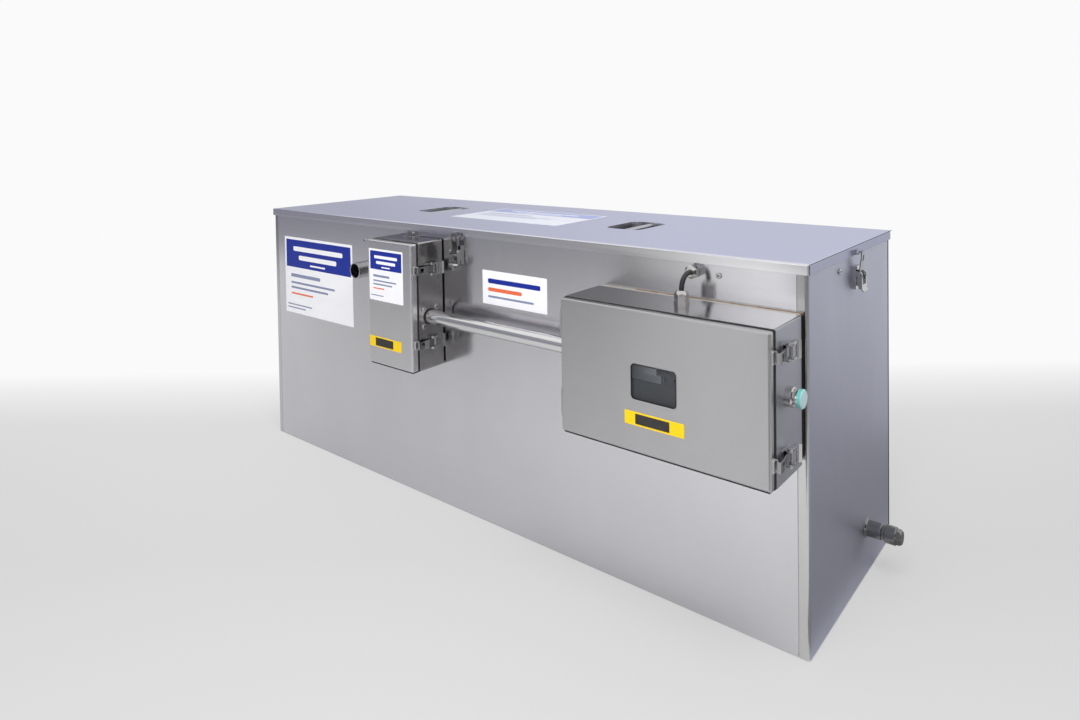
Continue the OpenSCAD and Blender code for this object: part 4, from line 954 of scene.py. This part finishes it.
@dataclass
class TankShell:
    """Welded tank: walls, pipes, spout, drain, screws, seams and its labels."""

    wardrobe: Wardrobe
    seam_width: float = 1.6 * MM
    seam_rise: float = 0.12 * MM
    seam_sunk: float = 0.1 * MM
    seam_pitch: float = 4.0 * MM
    seam_gap: float = 2.0 * MM
    seam_swell: float = 0.18
    seam_beat: float = 2.4
    # Dark strip on the right end's folded back edge, painted shade and dark reflection
    fold_width: float = 5.0 * MM
    fold_inset: float = 4.0 * MM
    fold_rise: float = 0.12 * MM
    fold_radius: float = 0.2 * MM
    ring_radii: Span = (13.4 * MM, 15.4 * MM)
    ring_thick: float = 1.6 * MM
    ring_steps: int = 40
    # Dark cross laid on each screw head, painted shade of its slot
    slot_length: float = 4.6 * MM
    slot_width: float = 1.1 * MM
    slot_rise: float = 0.12 * MM
    slot_radius: float = 0.3 * MM
    slot_turns: Span = (0.5, 40.0)

    def build(self) -> None:
        """Dress the shell and add its seams, the painted shade on its fold and in its screw slots, a dark ring
        on the conduit, and its labels.
        """
        dress = self.wardrobe.dress
        dress(Look.WALL, "front_wall", "back_wall", "floor_pan")
        dress(Look.SHADED_END, "left_end", "right_end")
        dress(Look.PIPE, "inlet_pipe", "outlet_pipe", "grease_spout")
        dress(Look.CONDUIT, "conduit_pipe")
        dress(Look.DRAIN, "drain_socket", "drain_plug")
        dress(Look.NICKEL, "screws", "box_gland", "wall_gland")
        dress(Look.CABLE, "control_cable")
        self.seams()
        self.fold()
        self.conduit_ring()
        self.screw_slot_shade()
        self.labels()

    def labels(self) -> None:
        """Lay the tank's two plates."""
        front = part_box("front_wall")[0].y / MM
        big = (
            *inked(Look.BLUE_INK, (6, 112, 256, 67)),
            *inked(Look.WHITE_INK, (36, 152, 196, 11, 4), (58, 131, 150, 11, 4), (104, 119, 60, 4, 1.5)),
            *inked(Look.GREY_INK, (24, 88, 120, 8, 3), (24, 72, 176, 5, 2), (24, 60, 150, 5, 2)),
            *inked(Look.ORANGE_INK, (24, 46, 90, 4, 1.5)),
            *inked(Look.GREY_INK, (8, 19, 100, 3, 1), (8, 11, 74, 3, 1)),
        )
        small = (
            *inked(Look.BLUE_INK, (14, 40, 128, 9, 3)),
            *inked(Look.ORANGE_INK, (14, 25, 84, 7, 3)),
            *inked(Look.GREY_INK, (14, 13, 112, 4, 1.5)),
        )
        plates = (
            Label("tank_label", "tank", Look.WHITE_INK, big, (-489, front, 402.5), width=268, height=185),
            Label("wall_label", "tank", Look.WHITE_INK, small, (125.5, front, 453), width=157, height=64),
        )
        for plate in plates:
            plate.build(self.wardrobe)

    def seams(self) -> None:
        """Lay the dressed weld seams where the long sheets meet the returns of the end sheets."""
        front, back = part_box("front_wall"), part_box("back_wall")
        foot = front[0].z
        count = int((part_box("lid")[0].z - self.seam_gap - foot) / self.seam_pitch)
        swells = [1 + self.seam_swell * math.sin(i * self.seam_beat) for i in range(count + 1)]
        for face, y, out in (("front", front[0].y, -1), ("back", back[1].y, 1)):
            for side, x in (("left", front[0].x), ("right", front[1].x)):
                piece = Piece(f"seam_weld_{face}_{side}", "tank", [Look.SEAM], "tank_steel")
                path = [Vector((x, y, foot + i * self.seam_pitch)) for i in range(count + 1)]
                piece.sweep(path, [self.seam_section(swell, out) for swell in swells], Look.SEAM)
                piece.finish(self.wardrobe)

    def seam_section(self, swell: float, out: int) -> list[Vector]:
        """Give the points of a seam's section.

        Args:
            swell: Factor of its width and rise.
            out: Way along Y that it rises.

        Returns:
            The points around its middle.
        """
        half, rise = self.seam_width / 2 * swell, self.seam_rise * swell
        points = ((-half, -self.seam_sunk), (-half / 2, rise), (half / 2, rise), (half, -self.seam_sunk))
        return [Vector((across, out * proud, 0)) for across, proud in points]

    def fold(self) -> None:
        """Lay a dark strip on the folded back edge of the right end sheet: painted shade and dark reflection
        of the fold.
        """
        low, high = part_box("right_end")
        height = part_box("lid")[0].z - low.z
        outline = rounded_outline(self.fold_width, height, self.fold_radius, 2)
        middle = Vector((high.x, high.y - self.fold_inset, low.z + height / 2))
        piece = Piece("corner_fold_shade", "tank", [Look.FOLD_SHADE], "tank_steel")
        piece.slab(outline, -SUNK, self.fold_rise, Look.FOLD_SHADE, Facing.RIGHT.seat(middle))
        piece.finish(self.wardrobe)

    def conduit_ring(self) -> None:
        """Seat a ring of black rubber on the conduit where it leaves the valve box."""
        low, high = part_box("conduit_pipe")
        middle = (low + high) / 2
        middle.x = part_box("valve_box")[1].x
        inner, outer = (circle(radius, self.ring_steps) for radius in self.ring_radii)
        rims = ((inner, 0.0), (outer, 0.0), (outer, self.ring_thick), (inner, self.ring_thick))
        piece = Piece("conduit_dark_ring", "tank", [Look.RUBBER], "rubber")
        piece.hoop(rims, Look.RUBBER, Facing.RIGHT.seat(middle))
        piece.finish(self.wardrobe)

    def screw_slot_shade(self) -> None:
        """Lay a dark cross on each screw head, painted shade of its slot, turned a little differently on each.
        """
        piece = Piece("screw_slot_shade", "tank", [Look.RUBBER], "nickel")
        sizes = ((self.slot_length, self.slot_width), (self.slot_width, self.slot_length))
        first, rate = self.slot_turns
        for low, high in islands(self.wardrobe.nodes["screws"]):
            middle = (low + high) / 2
            if high.y - low.y > high.x - low.x:
                facing = Facing.RIGHT
                middle.x = high.x
            else:
                facing = Facing.FRONT
                middle.y = low.y
            seat = facing.seat(middle) @ Matrix.Rotation(first + rate * middle.z, 4, "Z")
            for size in sizes:
                outline = rounded_outline(*size, self.slot_radius, 3)
                piece.slab(outline, -SUNK, self.slot_rise, Look.RUBBER, seat)
        piece.finish(self.wardrobe)


@dataclass
class LidAssembly:
    """Lift-off lid with its handles, seal and top plate."""

    wardrobe: Wardrobe
    # Dark strip along the lid's right edge, painted shade in its fold
    fold_width: float = 1.4 * MM
    fold_inset: float = 1.6 * MM
    fold_rise: float = 0.1 * MM
    fold_radius: float = 0.3 * MM

    def build(self) -> None:
        """Dress the lid and lay the painted shade on its fold and its plate."""
        dress = self.wardrobe.dress
        dress(Look.LIT_LID, "lid")
        dress(Look.SHADED_HANDLE, "lid_handles")
        dress(Look.RUBBER, "lid_seal")
        self.fold()
        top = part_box("lid")[1].z / MM
        fields = (
            *inked(Look.FADED_BLUE, (5, 122, 285, 53)),
            *inked(Look.FADED_WHITE, (50, 146, 190, 9, 3), (80, 130, 130, 7, 3)),
            *inked(Look.GREY_INK, (24, 92, 130, 8, 3), (24, 74, 200, 5, 2), (24, 60, 170, 5, 2)),
        )
        plate = Label(
            "lid_label", "lid", Look.FADED_WHITE, fields, middle=(-17.5, 10, top), width=295, height=180,
            facing=Facing.TOP,
        )
        plate.build(self.wardrobe)

    def fold(self) -> None:
        """Lay a dark strip along the lid's right edge: painted shade in its fold."""
        low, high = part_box("lid")
        length = high.y - low.y - 2 * self.fold_inset
        middle = Vector((high.x - self.fold_inset, (low.y + high.y) / 2, high.z))
        outline = rounded_outline(self.fold_width, length, self.fold_radius, 2)
        piece = Piece("lid_fold_shade", "lid", [Look.FOLD_SHADE], "lid_steel")
        piece.slab(outline, -SUNK, self.fold_rise, Look.FOLD_SHADE, Facing.TOP.seat(middle))
        piece.finish(self.wardrobe)


@dataclass
class ControlHousing:
    """Control box with its door, window, button, gear and sealant."""

    wardrobe: Wardrobe
    window_size: Span = (74.0 * MM, 52.0 * MM)
    window_radius: float = 6.0 * MM
    window_steps: int = 7
    edging_band: float = 1.3 * MM
    edging_depth: float = 1.4 * MM
    edging_rise: float = 0.35 * MM
    strip_height: float = 3.7 * MM
    strip_inset: float = 4.0 * MM
    strip_radius: float = 0.3 * MM
    bead_step: float = 2.0 * MM
    bead_radius: float = 0.55 * MM
    bead_share: float = 0.8
    bead_out: float = 0.8 * MM
    bead_sunk: float = 0.3 * MM
    bead_flatness: float = 1.6
    bead_sides: int = 8
    bead_swells: Span = (0.2, 1.9)
    bead_memory: float = 0.6
    seed: int = 11

    def build(self) -> None:
        """Dress the box and add what is stuck on it."""
        dress = self.wardrobe.dress
        dress(Look.CONTROL, "control_box")
        dress(Look.DOOR, "control_door")
        dress(Look.RUBBER, "control_seal")
        dress(Look.FOAM, "control_gasket")
        dress(Look.PANE, "door_window")
        dress(Look.PLATE, "mounting_plate")
        dress(Look.ZINC, "din_rail")
        dress(Look.PALE, "circuit_breaker", "terminal_strip")
        dress(Look.GREY, "timer_module")
        dress(Look.DARK, "contactor")
        dress(Look.NICKEL, "button_collar")
        dress(Look.LENS, "start_button")
        self.window_edge()
        self.sealant_strip()
        self.sealant_bead()
        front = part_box("control_door")[0].y / MM
        strip = Label(
            "control_strip", "control_door", Look.YELLOW_INK, inked(Look.BLACK_INK, (18, 2.5, 56, 15, 0.8)),
            middle=(487.5, front, 331), width=97, height=20, radius=0.8,
        )
        strip.build(self.wardrobe)

    def window_edge(self) -> None:
        """Press a black edging into the window opening."""
        low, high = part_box("door_window")
        middle = (low + high) / 2
        middle.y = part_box("control_door")[0].y
        width, height = self.window_size
        outer, inner = (
            rounded_outline(width - 2 * band, height - 2 * band, self.window_radius - band, self.window_steps)
            for band in (0.0, self.edging_band)
        )
        back, front = -self.edging_depth, self.edging_rise
        piece = Piece("window_edging", "control_door", [Look.RUBBER], "rubber")
        rims = ((outer, back), (outer, front), (inner, front), (inner, back))
        piece.hoop(rims, Look.RUBBER, Facing.FRONT.seat(middle))
        piece.finish(self.wardrobe)

    def sealant_strip(self) -> None:
        """Fill the gap above the gasket."""
        low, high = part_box("control_box")
        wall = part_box("front_wall")[0].y
        outline = rounded_outline(high.x - low.x - 2 * self.strip_inset, wall - high.y, self.strip_radius, 3)
        middle = Vector(((low.x + high.x) / 2, (wall + high.y) / 2, high.z - self.strip_inset))
        piece = Piece("sealant_strip", "tank", [Look.SILICONE])
        piece.slab(outline, 0.0, self.strip_height, Look.SILICONE, Facing.TOP.seat(middle))
        piece.finish(self.wardrobe)

    def sealant_bead(self) -> None:
        """Run an uneven bead of old sealant along the tank."""
        low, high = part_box("control_box")
        length = (high.x - low.x) * self.bead_share
        start = Vector((high.x - length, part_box("front_wall")[0].y - self.bead_out, high.z - self.bead_sunk))
        draw = random.Random(self.seed)
        path, sections = [], []
        swell = 1.0
        for i in range(int(length / self.bead_step)):
            swell = self.bead_memory * swell + (1 - self.bead_memory) * draw.uniform(*self.bead_swells)
            path.append(start + Vector((i * self.bead_step, 0, 0)))
            sections.append([
                Vector((0, -self.bead_flatness * across, up))
                for across, up in circle(self.bead_radius * swell, self.bead_sides)
            ])
        piece = Piece("sealant_bead", "tank", [Look.SEALANT])
        piece.sweep(path, sections, Look.SEALANT)
        piece.finish(self.wardrobe)


@dataclass
class ValveHousing:
    """Valve box with its door, plates and actuator."""

    wardrobe: Wardrobe

    def build(self) -> None:
        """Dress the box and lay its plates."""
        dress = self.wardrobe.dress
        dress(Look.HOUSING, "valve_box")
        dress(Look.SMALL_DOOR, "valve_door")
        dress(Look.RUBBER, "valve_seal")
        dress(Look.FOAM, "valve_gasket")
        dress(Look.DARK, "valve_actuator")
        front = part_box("valve_door")[0].y / MM
        fields = (
            *inked(Look.BLUE_INK, (3.5, 62, 95, 37)),
            *inked(Look.WHITE_INK, (16, 84, 70, 6, 2), (22, 73, 58, 6, 2), (38, 66, 26, 2.5, 1)),
            *inked(Look.GREY_INK, (12, 47, 50, 4.5, 1.5), (12, 38, 70, 3, 1), (12, 31, 58, 3, 1)),
            *inked(Look.ORANGE_INK, (12, 23, 34, 2.5, 1)),
            *inked(Look.GREY_INK, (5, 9, 38, 2, 0.8)),
        )
        plates = (
            Label(
                "valve_label", "valve_door", Look.WHITE_INK, fields,
                middle=(-137, front, 464.5), width=102, height=103,
            ),
            Label(
                "valve_strip", "valve_door", Look.YELLOW_INK, inked(Look.BLACK_INK, (18, 2.5, 54, 16, 0.8)),
                middle=(-142, front, 329.5), width=96, height=21, radius=0.8,
            ),
        )
        for plate in plates:
            plate.build(self.wardrobe)


@dataclass
class Latches:
    """Seven toggle latches and the door hinges."""

    wardrobe: Wardrobe
    names: tuple[str, ...] = (
        "front_latch", "right_latch", "left_latch",
        "control_upper", "control_lower", "valve_upper", "valve_lower",
    )

    def build(self) -> None:
        """Dress the latches and hinges."""
        for name in self.names:
            self.wardrobe.dress(Look.LATCH, f"{name}_lever")
            self.wardrobe.dress(Look.SHADED_HOOK, f"{name}_hook")
        self.wardrobe.dress(Look.LATCH, "latch_bases")
        self.wardrobe.dress(Look.ZINC, "hinge_leaves")


@dataclass
class Innards:
    """What stands inside the tank."""

    wardrobe: Wardrobe

    def build(self) -> None:
        """Dress the baffles, basket, heater, valve and cup."""
        dress = self.wardrobe.dress
        dress(Look.INNER, "inlet_baffle", "outlet_baffle", "basket_ledges", "strainer_basket", "skim_cup")
        dress(Look.HEATER, "heater_element")
        dress(Look.BRASS, "valve_body", "valve_ball")


@dataclass(frozen=True)
class SoftBox:
    """Soft lamp that lights without being mirrored."""

    name: str
    at: Point
    aim: Point
    size: Span
    watts: float
    tint: Colour = (1.0, 1.0, 1.0)

    def hang(self) -> None:
        """Hang the lamp over the scene."""
        data = bpy.data.lights.new(self.name, "AREA")
        data.shape = "RECTANGLE"
        data.size, data.size_y = self.size
        data.energy = self.watts
        data.color = self.tint
        made = bpy.data.objects.new(self.name, data)
        made.location = self.at
        made.rotation_euler = (Vector(self.aim) - Vector(self.at)).to_track_quat("-Z", "Y").to_euler()
        made.visible_camera = False
        made.visible_glossy = False
        bpy.context.scene.collection.objects.link(made)


@dataclass
class Studio:
    """Pale floor, white surround, soft lamps, cards for polished faces and the camera, in metres."""

    camera_at: Point = (1.0377, -1.2359, 0.7550)
    camera_forward: Point = (-0.6326, 0.7740, -0.0257)
    camera_roll: float = math.radians(-0.841)
    lens: float = 25.13
    sensor: float = 36.0
    shift_up: float = -0.1983
    near_clip: float = 0.01
    floor_half: float = 20.0
    floor_drop: float = 0.5 * MM
    floor_colour: Colour = srgb(217, 217, 217)
    floor_matt: Colour = srgb(206, 206, 206)
    floor_glow: float = 0.6
    white: Colour = srgb(250, 250, 250)
    ambient: float = 0.45
    fade: Span = (-0.3, 0.73)
    far_fade: Span = (2.2, 3.4)
    lee_middle: float = -0.08
    lee_width: Span = (0.62, 0.40)
    lee_depth: Span = (0.9, 0.3)
    lee_shade: float = 0.5
    curtain_radius: float = 3.6
    curtain_height: float = 2.6
    curtain_span: Span = (165.0, 292.0)
    curtain_steps: int = 24
    curtain_colour: Colour = (0.285, 0.285, 0.335)
    board_y: float = -1.9
    board_area: Area = (-0.774, 0.0, 0.02, 0.5)
    board_ramp: Area = (-0.70, -0.13, 0.36, 1.08)
    board_flag: Span = (-0.697, -0.707)
    board_flag_fade: Span = (0.19, 0.09)
    board_flag_shade: float = 0.85
    sky_area: Area = (-1.3, 0.76, 0.35, 1.3)
    sky_ramp: Span = (-0.9, -0.15)
    sky_levels: Span = (0.38, 1.6)
    backdrop_y: float = 3.5
    backdrop_area: Area = (-8.0, 0.62, 0.8, 3.0)
    backdrop_ramp: Area = (-5.4, -1.6, 0.70, 0.97)
    mat_height: float = 1.0 * MM
    mat_area: Area = (0.55, -1.7, 1.7, -0.75)
    foot_area: Area = (0.69, -0.3, 1.0, 0.7)
    foot_level: float = 0.3
    flag_x: float = 2.4
    flag_area: Area = (-1.1, 0.0, 0.0, 1.6)
    flag_level: float = 0.1
    lamps: tuple[SoftBox, ...] = (
        SoftBox("overhead_lamp", (0.2, -0.2, 2.7), (0.0, 0.0, 0.3), (3.2, 2.4), 20.0, (0.97, 0.98, 1.0)),
        SoftBox("camera_lamp", (0.95, -1.05, 1.7), (0.45, -0.65, 0.0), (1.2, 0.8), 27.0),
        SoftBox("print_lamp", (0.2, -2.4, 1.5), (-0.2, -0.2, 0.45), (2.0, 1.5), 13.0),
    )

    def build(self) -> None:
        """Set up everything around the object."""
        scene = bpy.context.scene
        scene.view_settings.view_transform = "Standard"
        self.floor()
        self.curtain()
        self.board()
        self.sky()
        self.backdrop()
        self.flags()
        self.world()
        for lamp in self.lamps:
            lamp.hang()
        scene.camera = self.camera()

    def floor(self) -> None:
        """Lay a pale floor that turns white behind the object and far away, and stays shaded in its lee."""
        half = self.floor_half
        corners = [(x, y, -self.floor_drop) for x, y in rectangle(-half, -half, half, half)]
        graph = self.sheet("studio_floor", corners)[1]
        point = graph.geometry("Position")
        back = Vector((*self.camera_forward[:2], 0.0)).normalized()
        reach = graph.node("ShaderNodeVectorMath", {0: point}, operation="LENGTH").outputs["Value"]
        seen = graph.node("ShaderNodeLightPath").outputs["Is Camera Ray"]
        behind = graph.remap(graph.dot(point, back), *self.fade)
        distant = graph.maths("MULTIPLY", graph.remap(reach, *self.far_fade), seen)
        white = graph.maths("MAXIMUM", behind, distant)
        place = graph.split(point)
        aside = graph.maths("ABSOLUTE", graph.maths("SUBTRACT", place["X"], self.lee_middle))
        deep = graph.remap(place["Y"], *self.lee_depth)
        lee = graph.maths("MULTIPLY", graph.remap(aside, *self.lee_width), deep)
        clear = graph.remap(graph.maths("MULTIPLY", lee, behind), 0.0, 1.0, 1.0, 1 - self.lee_shade)
        bare = graph.maths("MULTIPLY", white, clear)
        even = graph.maths("MAXIMUM", bare, graph.maths("MULTIPLY", seen, self.floor_glow))
        tone = graph.mix(white, rgba(self.floor_colour), rgba(self.white))
        matt = graph.node("ShaderNodeBsdfDiffuse", {"Color": rgba(self.floor_matt)}).outputs[0]
        glow = graph.node("ShaderNodeEmission", {"Color": tone}).outputs[0]
        surface = graph.node("ShaderNodeMixShader", {0: even, 1: matt, 2: glow}).outputs[0]
        graph.feed(graph.tree.nodes["Material Output"], {"Surface": surface})

    def curtain(self) -> None:
        """Hang a grey curtain before the object."""
        first, last = (math.radians(turn) for turn in self.curtain_span)
        points, faces = [], []
        for step in range(self.curtain_steps + 1):
            turn = first + (last - first) * step / self.curtain_steps
            foot = (self.curtain_radius * math.cos(turn), self.curtain_radius * math.sin(turn))
            points += [(*foot, 0.0), (*foot, self.curtain_height)]
        for low in range(0, 2 * self.curtain_steps, 2):
            faces.append((low, low + 2, low + 3, low + 1))
        graph, glow = self.card("studio_curtain", points, faces)
        graph.feed(glow, {"Color": rgba(self.curtain_colour)})

    def board(self) -> None:
        """Stand a reflector that brightens to the right, with a dark flag low at its left edge."""
        graph, glow, place = self.upright("studio_board", self.board_y, self.board_area)
        level = graph.remap(place["X"], *self.board_ramp)
        beyond = graph.remap(place["X"], *self.board_flag)
        low = graph.remap(place["Z"], *self.board_flag_fade)
        dark = graph.maths("MULTIPLY", graph.maths("MULTIPLY", beyond, low), self.board_flag_shade)
        lit = graph.maths("SUBTRACT", 1.0, dark)
        graph.feed(glow, {"Strength": graph.maths("MULTIPLY", level, lit)})

    def sky(self) -> None:
        """Hang a reflector above the board for the control box's top, brighter to the right."""
        graph, glow, place = self.upright("studio_sky", self.board_y, self.sky_area)
        level, rise = self.sky_levels
        swell = graph.maths("POWER", graph.remap(place["X"], *self.sky_ramp), 2.0)
        graph.feed(glow, {"Strength": graph.maths("ADD", graph.maths("MULTIPLY", swell, rise), level)})

    def backdrop(self) -> None:
        """Hang a card far behind that shades the lid's left half."""
        graph, glow, place = self.upright("studio_backdrop", self.backdrop_y, self.backdrop_area)
        graph.feed(glow, {"Strength": graph.remap(place["X"], *self.backdrop_ramp)})

    def flags(self) -> None:
        """Set dark flags by the camera and the right end that draw dark lines into polished parts."""
        mat = [(*spot, self.mat_height) for spot in rectangle(*self.mat_area)]
        foot = [(*spot, self.mat_height) for spot in rectangle(*self.foot_area)]
        flag = [(self.flag_x, *spot) for spot in rectangle(*self.flag_area)]
        cards = (
            ("studio_mat", mat, self.flag_level),
            ("studio_foot", foot, self.foot_level),
            ("studio_flag", flag, self.flag_level),
        )
        for name, points, level in cards:
            graph, glow = self.card(name, points)
            graph.feed(glow, {"Strength": level})

    def upright(self, name: str, y: float, area: Area) -> tuple[Graph, Node, Sockets]:
        """Hang an upright card across Y.

        Args:
            name: Name of the card and its material.
            y: Its place along Y.
            area: Its left, low, right and high.

        Returns:
            The material's graph, its emission node and the X, Y and Z of a point on the card.
        """
        graph, glow = self.card(name, [(x, y, z) for x, z in rectangle(*area)])
        return graph, glow, graph.split(graph.geometry("Position"))

    def card(
        self, name: str, points: Sequence[Point], faces: Sequence[Sequence[int]] = ONE_FACE
    ) -> tuple[Graph, Node]:
        """Hang a glowing card that only polished faces see.

        Args:
            name: Name of the card and its material.
            points: Its corners.
            faces: Its faces.

        Returns:
            The material's graph and its emission node.
        """
        made, graph = self.sheet(name, points, faces)
        glow = graph.node("ShaderNodeEmission")
        graph.feed(graph.tree.nodes["Material Output"], {"Surface": glow.outputs[0]})
        for kind in ("camera", "diffuse", "transmission", "shadow", "volume_scatter"):
            setattr(made, f"visible_{kind}", False)
        return graph, glow

    @staticmethod
    def sheet(
        name: str, points: Sequence[Point], faces: Sequence[Sequence[int]] = ONE_FACE
    ) -> tuple[Object, Graph]:
        """Make a stage sheet whose material has no shader yet.

        Args:
            name: Name of the sheet and its material.
            points: Its corners.
            faces: Its faces.

        Returns:
            The sheet and its material's graph.
        """
        data = bpy.data.meshes.new(name)
        data.from_pydata(points, [], faces)
        made = bpy.data.objects.new(name, data)
        bpy.context.scene.collection.objects.link(made)
        material = bpy.data.materials.new(name)
        material.use_nodes = True
        material.node_tree.nodes.remove(material.node_tree.nodes["Principled BSDF"])
        data.materials.append(material)
        return made, Graph(material.node_tree)

    def world(self) -> None:
        """Surround the object with white that shows, and a plain level that lights."""
        world = bpy.data.worlds.new("studio_world")
        world.use_nodes = True
        bpy.context.scene.world = world
        graph = Graph(world.node_tree)
        ray = graph.node("ShaderNodeLightPath").outputs
        sharp = graph.maths("ADD", ray["Is Glossy Ray"], ray["Is Transmission Ray"])
        shown = graph.maths("ADD", ray["Is Camera Ray"], sharp, clamp=True)
        level = graph.remap(shown, 0.0, 1.0, self.ambient, 1.0)
        graph.feed(graph.tree.nodes["Background"], {"Color": rgba(self.white), "Strength": level})

    def camera(self) -> Object:
        """Stand the camera where the picture was taken, with the picture's rise.

        Returns:
            The camera.
        """
        data = bpy.data.cameras.new("camera")
        data.sensor_width = self.sensor
        data.lens = self.lens
        data.shift_y = self.shift_up
        data.clip_start = self.near_clip
        made = bpy.data.objects.new("camera", data)
        made.location = self.camera_at
        level = Vector(self.camera_forward).to_track_quat("-Z", "Y").to_matrix()
        made.rotation_euler = (level @ Matrix.Rotation(self.camera_roll, 3, "Z")).to_euler()
        bpy.context.scene.collection.objects.link(made)
        return made


def main() -> None:
    """Load the frame, build each sub-assembly in order and light the scene."""
    logging.basicConfig(level=logging.INFO, format="%(name)s %(message)s")
    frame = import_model()
    wardrobe = Wardrobe(frame["nodes"])
    for assembly in (TankShell, LidAssembly, ControlHousing, ValveHousing, Latches, Innards):
        LOG.info("building %s", assembly.__name__)
        assembly(wardrobe).build()
    Studio().build()


if __name__ == "__main__":
    main()
